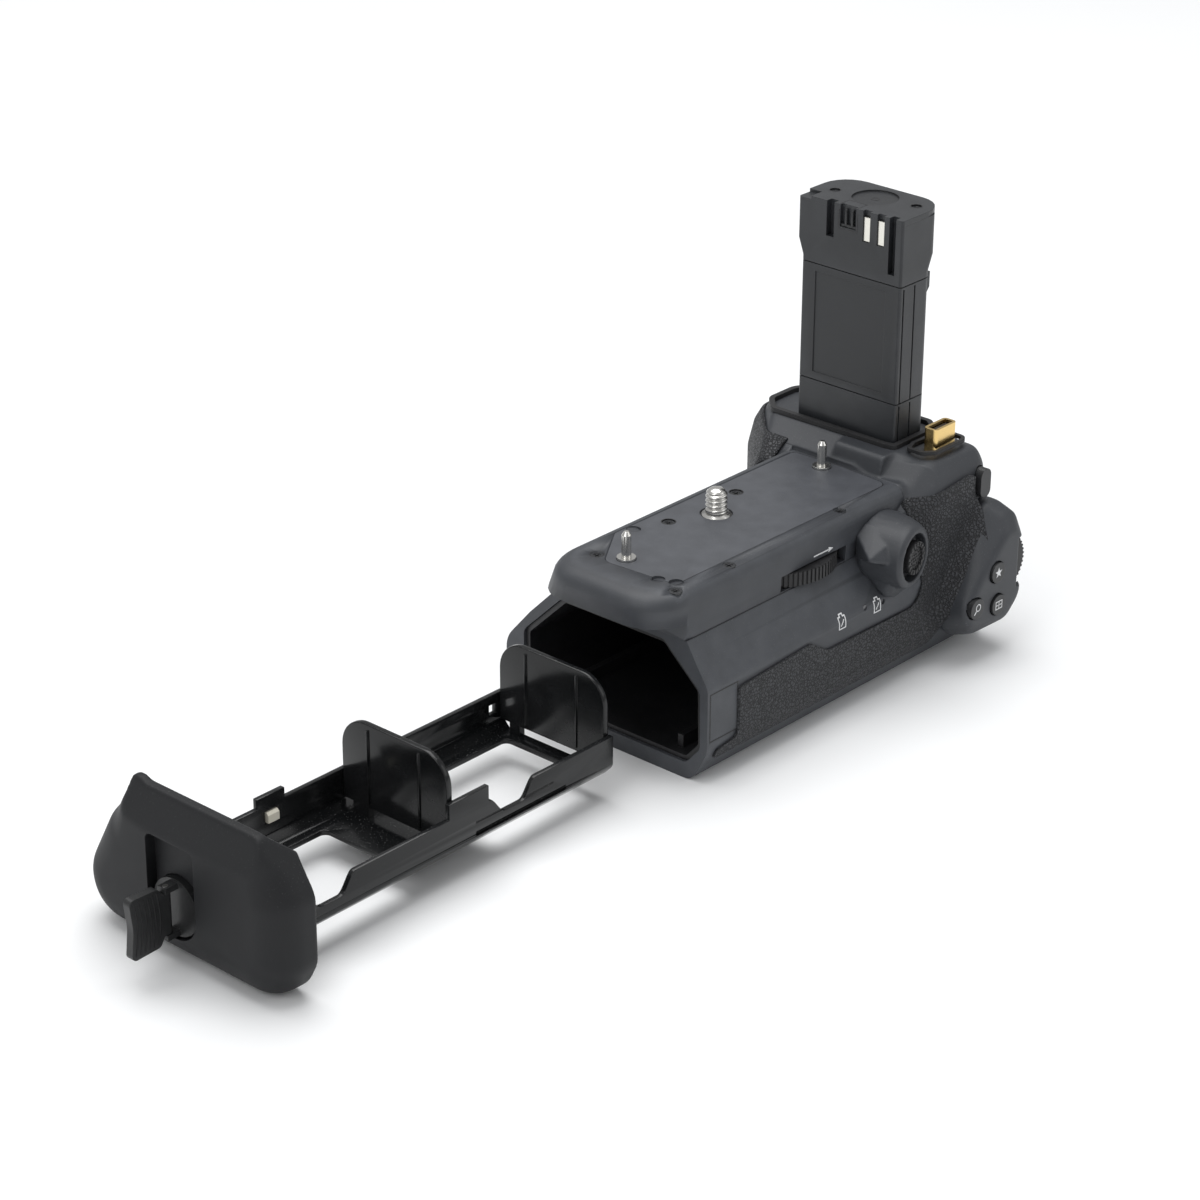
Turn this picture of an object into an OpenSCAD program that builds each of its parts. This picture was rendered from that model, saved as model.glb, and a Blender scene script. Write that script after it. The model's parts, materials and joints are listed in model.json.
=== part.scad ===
// Vertical battery grip for a mirrorless camera, with its battery tray pulled out.
// Millimetres. Origin on the mating face at the axis of the tripod screw.
// X runs along the grip to the hand-grip end, Y to the front of the camera, Z up.

/* [Body] */
// Height of the body from its base to the mating face
body_h = 57.5; // [54:0.5:64]
// Height of the seam below the mating face
seam_drop = 14.9; // [14:0.1:16]
// From the screw axis to the left rim, where the tray goes in
rim_x = 45.7; // [42:0.1:50]
// From the screw axis to the left end of the nose
nose_x = 58; // [56:0.5:62]
// Height of the nose that hangs over the cap
nose_h = 9.6; // [9:0.1:11]
// From the screw axis to the right end wall
end_x = 87; // [86:0.5:92]
// From the screw axis back to the rear face
rear_y = 36.4; // [36:0.1:39]
// From the screw axis to the front of the lower bulge
front_y = 40; // [39:0.5:44]
// Wall of the outer casings
wall = 1.8; // [1.4:0.1:2.2]
// Height of the pedestal round the battery stick above the mating face
pedestal_h = 6; // [5:0.5:8]
// Clearance between neighbouring pieces that don't touch
gap = 0.3; // [0.2:0.05:0.4]

/* [Chamber] */
// Depth of the chamber floor below the mating face
floor_drop = 51; // [49:0.5:52]
// Depth of the chamber ceiling below the mating face
ceiling_drop = 18.3; // [18:0.1:19]
// Wall of the chamber
tunnel_wall = 1.4; // [1:0.1:1.6]
// From the screw axis to the chamber's end wall
tunnel_end = 82; // [81:0.5:83]

/* [Tray] */
// Distance that the tray is pulled out
tray_out = 148; // [100:1:160]
// Width of the tray
tray_w = 43; // [42:0.5:45]
// Height of the tray's side walls
tray_wall_h = 13; // [11:0.5:16]
// Thickness of the tray's walls
tray_wall = 1.6; // [1.2:0.1:2.2]
// Height of the dividers above the tray's underside
divider_h = 30; // [26:0.5:31]
// Length of one battery bay
bay_l = 60.8; // [59:0.2:61]
// Depth of the end cap from its rim to its outer face
cap_d = 14; // [12:0.5:17]
// Wall of the end cap
cap_wall = 2; // [1.6:0.1:2.6]
// Radius of the key's hub
key_r = 8.2; // [7:0.1:9]
// Reach of the key's paddle from its hinge
paddle_l = 13; // [10:0.5:15]

/* [Stick] */
// Width of the battery-shaped stick
stick_w = 38.4; // [37:0.1:40]
// Thickness of the head of the stick
stick_t = 21; // [20:0.1:22]
// Height of the top of the stick above the mating face
stick_top = 75.8; // [70:0.1:80]
// Height of the head of the stick
head_h = 20.2; // [18:0.1:24]
// Length of a battery, from the top of the stick to its lower seam
battery_l = 56.8; // [54:0.1:60]

/* [Fastening] */
// Diameter of the tripod screw
screw_d = 6.35; // [6:0.05:7]
// Height of the tripod screw above the mating face
screw_h = 8; // [5:0.5:10]
// Distance between the two locating pins
pin_spacing = 86.8; // [84:0.1:90]
// Diameter of a locating pin
pin_d = 2.8; // [2.4:0.1:3.2]
// Height of a locating pin
pin_h = 8.4; // [6:0.1:10]
// Teeth on the gear of the lock wheel
wheel_teeth = 20; // [20:1:20]
// Teeth on the gear of the tripod screw
screw_teeth = 12; // [12:1:12]
// Module of the two gears
gear_m = 1; // [0.95:0.01:1.03]
// Radius of the ribbed lock wheel
lock_r = 19; // [18:0.1:20]

/* [Controls] */
// Radius of the rear dial
dial_r = 9; // [8.4:0.1:9.4]
// Width of the rear dial
dial_w = 6.3; // [6.1:0.1:6.5]
// Radius of a round button
button_r = 3.2; // [2.8:0.1:3.6]
// Travel of a button
button_travel = 0.7; // [0.4:0.1:0.8]
// Radius of the well round the joystick
well_r = 7.2; // [6.8:0.1:7.4]
// Radius of the joystick's knob
knob_r = 5; // [4.4:0.1:5.4]

/* [Hidden] */
$fn = 48;

// Outlines with rounded corners, from corner points with a radius each
function unit(v) = v / norm(v);
function corner(a, b, c, r, n = 6) =
  let (u = unit(a - b), v = unit(c - b), half = acos(u * v) / 2)
  let (m = b + unit(u + v) * r / sin(half), t = r / tan(half))
  let (p = b + u * t - m, q = b + v * t - m)
  let (start = atan2(p[1], p[0]), turn = (atan2(q[1], q[0]) - start + 540) % 360 - 180)
  [for (i = [0:n]) m + r * [cos(start + turn * i / n), sin(start + turn * i / n)]];
function flat(p) = [p[0], p[1]];
function rounded(pts) = let (k = len(pts)) [
  for (i = [0:k - 1])
    let (a = flat(pts[(i + k - 1) % k]), b = flat(pts[i]), c = flat(pts[(i + 1) % k]))
    each (pts[i][2] > 0 ? corner(a, b, c, pts[i][2]) : [b])
];
// The same outline moved inwards by d, or outwards where d is negative
function inset(pts, d) = let (k = len(pts)) [
  for (i = [0:k - 1])
    let (a = flat(pts[(i + k - 1) % k]), b = flat(pts[i]), c = flat(pts[(i + 1) % k]))
    let (e = unit(b - a), f = unit(c - b))
    let (n1 = [-e[1], e[0]], n2 = [-f[1], f[0]], bends_out = e[0] * f[1] - e[1] * f[0] > 0)
    let (p = b + (n1 + n2) * d / (1 + n1 * n2))
    [p[0], p[1], pts[i][2] > 0 ? max(0.2, pts[i][2] - (bends_out ? d : -d)) : 0]
];

// Extrusions along each axis, between two values on that axis
module along_x(pts, x0, x1) {
  translate([x0, 0, 0]) rotate([90, 0, 90]) linear_extrude(x1 - x0) polygon(pts);
}
module along_y(pts, y0, y1) {
  translate([0, y1, 0]) rotate([90, 0, 0]) linear_extrude(y1 - y0) polygon(pts);
}
module along_z(pts, z0, z1) {
  translate([0, 0, z0]) linear_extrude(z1 - z0) polygon(pts);
}
module rod_x(r, x0, x1, y, z) { translate([x0, y, z]) rotate([0, 90, 0]) cylinder(r = r, h = x1 - x0); }
module rod_y(r, y0, y1, x, z) { translate([x, y1, z]) rotate([90, 0, 0]) cylinder(r = r, h = y1 - y0); }
module rod_z(r, z0, z1, x, y) { translate([x, y, z0]) cylinder(r = r, h = z1 - z0); }
module box(a, b) { translate(a) cube(b - a); }

base_z = -body_h;
seam_z = -seam_drop;
top_rear_y = -28.5;
far = 200;

// Section of the lower body across X, as [y, z, corner radius]
lower_section = [
  [-rear_y + 5.4, base_z, 5], [front_y - 4, base_z, 5], [front_y, base_z + 9.5, 8],
  [front_y, base_z + 21.5, 9], [front_y - 9.5, seam_z - 10.1, 6], [20.5, seam_z, 0],
  [top_rear_y, seam_z, 0], [top_rear_y - 3, seam_z - 5, 6], [-rear_y, seam_z - 12.6, 4],
  [-rear_y, base_z + 10.5, 7]
];
// Plan of the upper body with its left end and its long sides moved in
top_front_y = 16.2;
function top_plan(end_in, side_in, front_out = 0) = [
  [-nose_x + end_in, top_rear_y + side_in, 13], [end_x - 4, top_rear_y + side_in, 0],
  [end_x - 4, top_front_y - side_in + front_out, 0], [-nose_x + end_in, top_front_y - side_in + front_out, 11]
];
// Side view of the upper body, with the nose that hangs over the tray's cap
nose_low = -nose_h;
nose_side = [
  [-rim_x, seam_z], [end_x, seam_z], [end_x, 1], [-nose_x - 1, 1], [-nose_x - 1, nose_low], [-rim_x, nose_low]
];
top_round = 4.2;
// Plan of the lower body
lower_plan = [
  [-rim_x, -rear_y, 0], [end_x, -rear_y, 7], [end_x, front_y, 12], [-rim_x, front_y, 0]
];
// Plans of the hand-grip end at three heights
grip_base = [
  [46, top_rear_y, 2], [57, -rear_y, 8], [end_x, -rear_y, 6], [end_x, front_y - 1, 12],
  [62, front_y - 1, 10], [36, 15, 2]
];
grip_waist = [
  [53, -20, 3], [58.5, -rear_y + 2, 6], [62, -rear_y, 5], [end_x, -rear_y, 6], [end_x, front_y - 1, 12],
  [63, front_y - 1, 10], [53, 22, 3]
];
grip_top = [
  [56.5, -18, 3], [61.5, -rear_y + 6, 5], [70, -rear_y + 2.4, 6], [end_x - 1.2, -rear_y + 1.6, 5],
  [end_x - 1.2, front_y - 4, 12], [66, front_y - 4, 8], [56.5, 27, 3]
];
soft_r = 2.4;
// Hand-grip end: a block with a sloped and rounded top
module grip_block(d = 0) {
  hull() {
    along_z(rounded(inset(grip_base, d)), seam_z - 13, -8.5 - d);
    along_z(rounded(inset(grip_waist, d)), -8.5 - d, -1.5 - d);
    for (a = [0:22.5:90]) along_z(rounded(inset(grip_top, d + soft_r * (1 - cos(a)))), 0,
      pedestal_h - d - soft_r * (1 - sin(a)));
  }
}
// Bulge at the right of the rear face, with the round buttons and the dial
bulge_y = 47.2;
bulge_foot = [
  [57, -43, 6], [66, -51, 8], [end_x, -49, 6], [end_x, -11, 5], [77.8, -11.4, 5], [66, -28, 7]
];
bulge_face = [
  [60, -38.5, 4], [63, -43.5, 4], [80, -46.5, 4], [end_x - 0.8, -41, 5], [end_x - 0.8, -18.6, 5],
  [79, -18.4, 4], [68, -29, 5]
];
bulge_middle = [
  [59.5, -40, 5], [65, -49, 7], [end_x, -47, 6], [end_x, -14, 3], [80, -14.4, 4], [68, -28.5, 6]
];
module bulge_block() {
  hull() {
    along_y(rounded(bulge_middle), -44, -43);
    along_y(rounded(bulge_foot), -rear_y - 2, -rear_y + 3);
    for (a = [0:22.5:90]) along_y(rounded(inset(bulge_face, -1.4 + soft_r * (1 - cos(a)))),
      -bulge_y + soft_r * (1 - sin(a)), -bulge_y + soft_r + 0.2);
  }
}
module lower_block(d = 0) {
  intersection() {
    along_x(rounded(inset(lower_section, d)), -rim_x - (d > 0 ? 1 : 0), end_x - d);
    along_z(rounded(inset(lower_plan, d)), base_z - 1, 0);
  }
}
module upper_block() {
  intersection() {
    hull() {
      along_z(rounded(top_plan(2.6, 0.3, 4.2)), seam_z, seam_z + 1);
      along_z(rounded(top_plan(0.4, 0, 3.2)), seam_z + 3, seam_z + 3.4);
      for (a = [0:18:90]) along_z(rounded(top_plan(5.6 * (1 - cos(a)), 3 * (1 - cos(a)))),
        -top_round - 0.2, -top_round * (1 - sin(a)));
    }
    along_y(nose_side, -far, far);
  }
}
module ramp() {
  along_y([[51.2, -1], [52.8, pedestal_h - 0.8], [54, pedestal_h], [60, pedestal_h], [60, -1]], -19, -0.8);
}
module body_outer() {
  lower_block();
  upper_block();
  grip_block();
  bulge_block();
  ramp();
}
module above_seam() { box([-far, -far, seam_z], [far, far, far]); }
module below_seam() { box([-far, -far, -far], [far, far, seam_z]); }

// Chamber for the tray
chamber_z = -floor_drop;
chamber_section = [
  [-28, chamber_z, 2], [26, chamber_z, 2], [31.5, chamber_z + 5.5, 2], [31.5, -32, 2],
  [17.5, -ceiling_drop, 2], [-19.5, -ceiling_drop, 2], [-32, -29.5, 2], [-32.4, chamber_z + 5, 2]
];
module chamber() {
  color("#0c0c0d") {
    difference() {
      along_x(rounded(inset(chamber_section, -tunnel_wall)), -rim_x + 1, tunnel_end + 1.6);
      along_x(rounded(chamber_section), -rim_x, tunnel_end);
    }
    difference() {
      along_x(rounded(inset(lower_section, wall + 0.2)), -rim_x + wall + 0.1, -rim_x + wall + 1.5);
      along_x(rounded(chamber_section), -rim_x, 0);
    }
  }
}

// Lock wheel, its gear and the tripod screw
gear_apart = gear_m * (wheel_teeth + screw_teeth) / 2;
lock_x = 9.8;
lock_y = -sqrt(gear_apart * gear_apart - lock_x * lock_x);
wheel_z0 = -14.2;
wheel_z1 = -10;
gear_z0 = -9.4;
gear_z1 = -5.6;
bore_play = 0.05;
screw_r = screw_d / 2;
shaft_r = screw_r + 1;
axle_r = 2;

// Involute gear: addendum and dedendum in modules, play taken off each flank
pressure = 25;
function involute(base, a) = base * [cos(a) + a * PI / 180 * sin(a), sin(a) - a * PI / 180 * cos(a)];
function involute_angle(base, r) = r <= base ? 0 : 180 / PI * sqrt(pow(r / base, 2) - 1);
function turned(p, a) = [p[0] * cos(a) - p[1] * sin(a), p[0] * sin(a) + p[1] * cos(a)];
function gear_points(teeth, m, addendum = 0.8, dedendum = 1.1, play = 0.06, steps = 4) =
  let (pitch = teeth * m / 2, base = pitch * cos(pressure))
  let (tip = pitch + addendum * m, root = pitch - dedendum * m, low = max(root, base))
  let (at_pitch = involute_angle(base, pitch))
  let (half = 90 / teeth - play / pitch * 180 / PI + (at_pitch - atan(at_pitch * PI / 180)))
  let (a0 = involute_angle(base, low), a1 = involute_angle(base, tip))
  [for (k = [0:teeth - 1]) each concat(
    [turned([root, 0], 360 * k / teeth - half)],
    [for (i = [0:steps]) turned(involute(base, a0 + (a1 - a0) * i / steps), 360 * k / teeth - half)],
    [for (i = [steps:-1:0])
      let (p = involute(base, a0 + (a1 - a0) * i / steps))
      turned([p[0], -p[1]], 360 * k / teeth + half)],
    [turned([root, 0], 360 * k / teeth + half)]
  )];
lock_dir = atan2(lock_y, lock_x);

module lock_wheel() {
  color("#141415") difference() {
    union() {
      translate([lock_x, lock_y, wheel_z0]) linear_extrude(wheel_z1 - wheel_z0) difference() {
        circle(r = lock_r, $fn = 120);
        for (i = [0:79]) rotate(i * 4.5) translate([lock_r, 0]) square([0.8, 0.6], center = true);
      }
      translate([lock_x, lock_y, wheel_z1]) linear_extrude(gear_z1 - wheel_z1)
        rotate(lock_dir + 180 + 180 / wheel_teeth) polygon(gear_points(wheel_teeth, gear_m));
    }
    rod_z(axle_r + bore_play, wheel_z0 - 1, gear_z1 + 1, lock_x, lock_y);
  }
}
module lock_axle() {
  color("#9a9a98") {
    rod_z(axle_r, seam_z, -plate_t - 1.2, lock_x, lock_y);
    rod_z(axle_r + 1.4, seam_z, wheel_z0 - gap, lock_x, lock_y);
  }
}
plate_t = 1.2;
module tripod_screw() {
  color("#c8c8c6") {
    rod_z(screw_r, 0, screw_h - 0.6, 0, 0);
    translate([0, 0, screw_h - 0.6]) cylinder(r1 = screw_r, r2 = screw_r - 0.6, h = 0.6);
    rod_z(shaft_r, gear_z1, 0, 0, 0);
    translate([0, 0, gear_z0]) linear_extrude(gear_z1 - gear_z0)
      rotate(lock_dir) polygon(gear_points(screw_teeth, gear_m));
  }
}
bearing_r = 6.4;
module screw_bearing() {
  color("#b0a070") difference() {
    rod_z(bearing_r, gear_z1 + gap, -plate_t - 0.1, 0, 0);
    rod_z(shaft_r + bore_play, gear_z1, 1, 0, 0);
  }
}

// Mating plate let into the top cover
pin_x = [-pin_spacing / 2 + 2.9, pin_spacing / 2 + 2.9];
pin_y = -1.5;
plate_right = pin_x[1] + 3.9;
plate_outline = [
  [-44, -22.8, 3], [plate_right - 0.6, -23.4, 3], [plate_right + 0.4, -6, 0], [plate_right - 0.4, 12, 2],
  [-30, 12.4, 3], [-46, 2, 4]
];
plate_screw_places = [[-43.7, 6.6], [-13.7, 6.2], [15.3, 5.4], [-24, -25], [-46.5, -24.8], [25.5, -24.8]];
plate_screw_r = 1.9;
module plate_screw_holes(d = 0) {
  for (p = plate_screw_places) rod_z(plate_screw_r + d, -1.4, 1, p[0], p[1]);
}
module mating_plate() {
  color("#303234") difference() {
    along_z(rounded(inset(plate_outline, 0.2)), -plate_t, 0);
    rod_z(screw_r + 1.6, -5, 1, 0, 0);
    tool_dents();
    for (x = pin_x) rod_z(pin_d / 2 + 1.45, -5, 1, x, pin_y);
    plate_screw_holes(0.1);
  }
}
// Half-moon dents, cut by a slanted pin
dents = [[-24.3, 10.1, 8], [-44.6, -16.7, -8], [-42.7, -21.8, -8]];
module tool_dents() {
  for (p = dents) translate([p[0], p[1], 0.12]) rotate([p[2], 0, 0]) translate([0, 0, -0.7]) cylinder(r = 2.1, h = 3);
}
module locating_pins() {
  color("#c4c4c2") for (x = pin_x) {
    rod_z(pin_d / 2, -plate_t, pin_h - 1.1, x, pin_y);
    translate([x, pin_y, pin_h - 1.1]) cylinder(r1 = pin_d / 2, r2 = pin_d / 2 - 0.7, h = 1.1);
    rod_z(pin_d / 2 + 1.35, -plate_t, 0.7, x, pin_y);
  }
}
module plate_screws() {
  color("#202122") for (p = plate_screw_places) difference() {
    rod_z(plate_screw_r, -1.4, -0.35, p[0], p[1]);
    for (a = [0, 90]) translate([p[0], p[1], -0.35]) rotate(a) cube([2, 0.5, 0.9], center = true);
  }
}

// Rear controls
joy_x = 37.7;
joy_z = -14.4;
joy_turn = 10;
joy_pivot_y = -33;
face_y = joy_pivot_y - 9.5;
well_y = face_y + 3.8;
ring_r = 5.6;
pivot_r = 0.7;
pivot_end = ring_r + 2;
oval_hole_y = -rear_y + 3.4;
module joystick_place() {
  translate([joy_x, joy_pivot_y, 0]) rotate([0, 0, joy_turn]) translate([-joy_x, -joy_pivot_y, 0]) children();
}
star_at = [73.8, -29.4];
grid_at = [74.8, -40.3];
zoom_at = [64, -38];
oval_at = [79.6, -5.4];
dial_at = [81.6, -30];
dial_y0 = -bulge_y + 2.3;
dial_y1 = dial_y0 + dial_w;
front_dial_at = [81.6, -6.2];
front_dial_r = 9.2;
front_dial_y0 = 6;
front_dial_y1 = 12.5;
shutter_at = [26, -6];
shutter_r = 5.6;
button_hole_y = -bulge_y + 2.2;

module button_hole(at, y0) { rod_y(button_r + 0.25, y0, button_hole_y, at[0], at[1]); }
module oval_outline(r, half) {
  hull() for (s = [-half, half]) translate([0, s]) circle(r = r, $fn = 32);
}
module oval_rod(r, half, y0, y1, at) {
  translate([at[0], y1, at[1]]) rotate([90, 0, 0]) linear_extrude(y1 - y0) oval_outline(r, half);
}
module rear_dial_room() {
  rod_y(dial_r + gap + 0.1, dial_y0 - 0.4, dial_y1 + 0.4, dial_at[0], dial_at[1]);
  box([dial_at[0], dial_y0 - 0.4, dial_at[1] - 8], [far, dial_y1 + 0.4, dial_at[1] + 8]);
}
module front_dial_room() {
  rod_y(front_dial_r + gap + 0.1, front_dial_y0 - 0.4, front_dial_y1 + 0.4, front_dial_at[0], front_dial_at[1]);
}
module joystick_room() joystick_place() {
  rod_y(6.4, well_y + 1.6, -29.6, joy_x, joy_z);
  rod_y(4.6, -60, -27, joy_x, joy_z);
  rod_z(pivot_r + bore_play, joy_z - pivot_end - 0.2, joy_z + pivot_end + 0.2, joy_x, joy_pivot_y);
}

// Top cover, open below, with the nose, the ramp and the pedestal
gear_room = [[-42, -25.6, 4], [50, -25.6, 3], [50, 11.5, 3], [-42, 11.5, 4]];
slot_half = sqrt(pow(lock_r + gap, 2) - pow(lock_y + 25.6, 2)) + 0.4;
module slot_for_wheel() {
  box([lock_x - slot_half, -far, wheel_z0 - 0.3], [lock_x + slot_half, lock_y, wheel_z1 + 0.4]);
}
module top_cover() {
  color("#2c2d2f") difference() {
    intersection() {
      union() {
        upper_block();
        grip_block();
        ramp();
      }
      above_seam();
    }
    along_z(rounded(gear_room), seam_z - 1, -3.2);
    translate([0, 0, seam_z - 1]) linear_extrude(seam_drop - 1.5 + pedestal_h - 3)
      polygon(rounded([[58, -16, 2], [end_x - 3.5, -16, 2], [end_x - 3.5, 20, 4], [58, 20, 4]]));
    along_z(rounded(plate_outline), -plate_t, far);
    box([-nose_x, -24, 0], [plate_right + 1, 13.4, 1.6]);
    rod_z(bearing_r + 0.02, -4, 1, 0, 0);
    rod_z(axle_r + 0.02, -5, -plate_t - 1.2, lock_x, lock_y);
    plate_screw_holes(0.02);
    tool_dents();
    slot_for_wheel();
    joystick_room();
    oval_rod(2.7, 2.2, -far, oval_hole_y, oval_at);
    front_dial_room();
    rod_y(1.2, front_dial_y0 - 2, front_dial_y1 + 2, front_dial_at[0], front_dial_at[1]);
    rod_x(shutter_r + 0.25, end_x - 3.6, far, shutter_at[0], shutter_at[1]);
    stick_pocket();
    connector_pocket();
    bulge_block();
  }
}

// Lower casings, split into a rear and a front shell over a base cover
split_y = 4;
base_outline = [[-rim_x + 6, -25, 3], [end_x - 8, -25, 3], [end_x - 8, 30, 6], [-rim_x + 6, 30, 3]];
base_t = 2;
module lower_casing() {
  difference() {
    intersection() {
      union() {
        lower_block();
        grip_block();
      }
      below_seam();
    }
    lower_block(wall);
    along_x(rounded(inset(chamber_section, -tunnel_wall - 0.1)), -rim_x - 1, tunnel_end + 1.7);
    along_z(rounded([[58, -27, 3], [end_x - 3.5, -27, 3], [end_x - 3.5, 20, 4], [58, 20, 4]]), -17.2, 0);
    along_z(rounded(base_outline), base_z - 1, base_z + base_t + 0.1);
    joystick_room();
    for (at = [star_at, grid_at, zoom_at]) button_hole(at, -far);
    rear_dial_room();
    front_dial_room();
    rod_y(1.2, dial_y0 - 0.8, dial_y1 + 2, dial_at[0], dial_at[1]);
    slot_for_wheel();
    led_holes();
    door_pockets();
  }
}
module rear_shell() {
  color("#2a2b2d") difference() {
    intersection() {
      lower_casing();
      box([-far, -far, -far], [far, split_y, far]);
    }
    pod_room();
  }
}
// Housing of the right-hand controls, let into the rear shell
pod_cut = 2.4;
module pod_room() {
  box([end_x - 9, -far, -far], [far, -rear_y + pod_cut, far]);
}
module control_housing() {
  color("#2a2b2d") difference() {
    bulge_block();
    difference() {
      lower_block();
      pod_room();
    }
    difference() {
      grip_block();
      pod_room();
    }
    for (at = [star_at, grid_at, zoom_at]) button_hole(at, -far);
    oval_rod(2.7, 2.2, -far, oval_hole_y, oval_at);
    rear_dial_room();
    intersection() {
      rod_y(dial_r + gap + 0.1, -far, dial_y1, dial_at[0], dial_at[1]);
      box([dial_at[0] + 2.8, -far, dial_at[1] - 8], [far, far, dial_at[1] + 8]);
    }
    rod_y(1.2, dial_y0 - 0.8, dial_y1 + 2, dial_at[0], dial_at[1]);
  }
}
module front_shell() {
  color("#2a2b2d") intersection() {
    lower_casing();
    box([-far, split_y, -far], [far, far, far]);
  }
}
base_screw_places = [[-34, -20], [-34, 24], [72, -20], [72, 22]];
module base_cover() {
  color("#252628") difference() {
    along_z(rounded(inset(base_outline, 0.15)), base_z, base_z + base_t);
    rod_z(bush_r + 0.02, base_z - 1, base_z + 5, 0, 0);
    for (p = base_screw_places) rod_z(2.15, base_z - 1, base_z + 1.2, p[0], p[1]);
  }
}
module base_screws() {
  color("#1c1d1e") for (p = base_screw_places) difference() {
    rod_z(2.1, base_z + 0.3, base_z + 1.2, p[0], p[1]);
    for (a = [0, 90]) translate([p[0], p[1], base_z + 0.3]) rotate(a) cube([2.4, 0.6, 0.8], center = true);
  }
}
bush_r = 6;
socket_r = 2.6;
module tripod_bush() {
  color("#b8b8b4") difference() {
    rod_z(bush_r, base_z + 0.2, chamber_z - tunnel_wall, 0, 0);
    rod_z(socket_r, base_z - 1, chamber_z, 0, 0);
  }
}

// Inside the chamber
rail_w = 2;
rail_h = 4;
tray_mid_y = -0.5;
tray_y0 = tray_mid_y - tray_w / 2;
tray_y1 = tray_mid_y + tray_w / 2;
module guide_rails() {
  color("#101011") {
    box([-rim_x + 4, tray_y0 - 0.4 - rail_w, chamber_z], [tunnel_end - 4, tray_y0 - 0.4, chamber_z + rail_h]);
    box([-rim_x + 4, tray_y1 + 0.4, chamber_z], [tunnel_end - 4, tray_y1 + 0.4 + rail_w, chamber_z + rail_h]);
  }
}
block_z0 = -45;
block_z1 = -33;
module contact_block() {
  color("#1a1a1c") difference() {
    box([tunnel_end - 1.2, -18, block_z0], [tunnel_end, 17, block_z1]);
    for (y = contact_places) rod_x(0.8, tunnel_end - 2, tunnel_end + 1, y, (block_z0 + block_z1) / 2);
  }
}
contact_places = [for (i = [0:4]) -14 + 6.75 * i];
module contact_pins() {
  color("#d8b660") for (y = contact_places)
    rod_x(0.8, tunnel_end - 1.5, tunnel_end, y, (block_z0 + block_z1) / 2);
}
board_x0 = end_x - 28;
board_z = seam_z - 0.7;
board_t = 1.6;
module circuit_board() {
  color("#1f4a2e") difference() {
    box([board_x0, -14, board_z], [end_x - 4.5, 4, board_z + board_t]);
    rod_z(1.2, -far, far, board_x0 + 3, -11);
  }
}

// Rubber, doors, guard and lamps on the outside
rubber_t = 0.8;
rear_pad = [
  [-42, -46.5, 2], [-34.5, -46, 2], [-31.5, -42, 2], [-31.5, -30.5, 2], [-1, -29, 3], [6, -34.5, 4],
  [52, -34.5, 2], [57.5, -36, 2], [57.5, -44, 4], [60, -50.5, 4], [-38, -50.5, 3]
];
thumb_pad = [
  [49.5, -31.5, 3], [58, -31.5, 4], [75.5, -10.5, 5], [75.5, -0.8, 4], [54, -2.6, 4], [54.5, -18, 8]
];
module rear_rubber() {
  color("#262729") difference() {
    union() {
      intersection() {
        along_x(rounded(inset(lower_section, -rubber_t)), -rim_x + 1, end_x - 8);
        along_y(rounded(rear_pad), -far, -20);
      }
      along_y(rounded(inset(thumb_pad, 0.3)), -rear_y - rubber_t, -rear_y + 6);
    }
    body_outer();
    guard_form(0.4);
  }
}
front_pad = [
  [-30, -50, 3], [end_x - 14, -50, 4], [end_x - 10, -30, 6], [end_x - 10, 3, 4], [66, 3.5, 4], [46, 2, 5],
  [34, -26, 4], [-30, -30, 3]
];
module front_rubber() {
  color("#242527") intersection() {
    difference() {
      union() {
        along_x(rounded(inset(lower_section, -rubber_t)), -rim_x + 4, end_x - 8);
        grip_block(-rubber_t);
      }
      body_outer();
    }
    along_y(rounded(front_pad), 14, far);
    box([-rim_x + 4, 16, -far], [end_x - 8, far, pedestal_h - 1.4]);
  }
}
door_x0 = -rim_x + 1.4;
door_x1 = -33;
door_z0 = base_z + 13.6;
door_z1 = base_z + 28;
door_t = 1.1;
module rear_door_form(d = 0) {
  box([door_x0 - d, -rear_y + 0.02, door_z0 - d], [door_x1 + d, -rear_y + door_t, door_z1 + d]);
}
module front_door_form(d = 0) {
  box([door_x0 - d, front_y - door_t, base_z + 12.5 - d], [door_x1 + 2 + d, front_y - 0.02, base_z + 18.5 + d]);
}
module door_pockets() {
  difference() {
    union() {
      rear_door_form(0.35);
      front_door_form(0.35);
      box([door_x0, -far, door_z0], [door_x1, -rear_y + 0.1, door_z1]);
    }
    box([door_x0 - 2, -rear_y + door_t, -far], [door_x1 + 4, -rear_y + 5, far]);
  }
}
module rear_door() { color("#2b2c2e") rear_door_form(); }
module front_door() { color("#2b2c2e") front_door_form(); }

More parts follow.
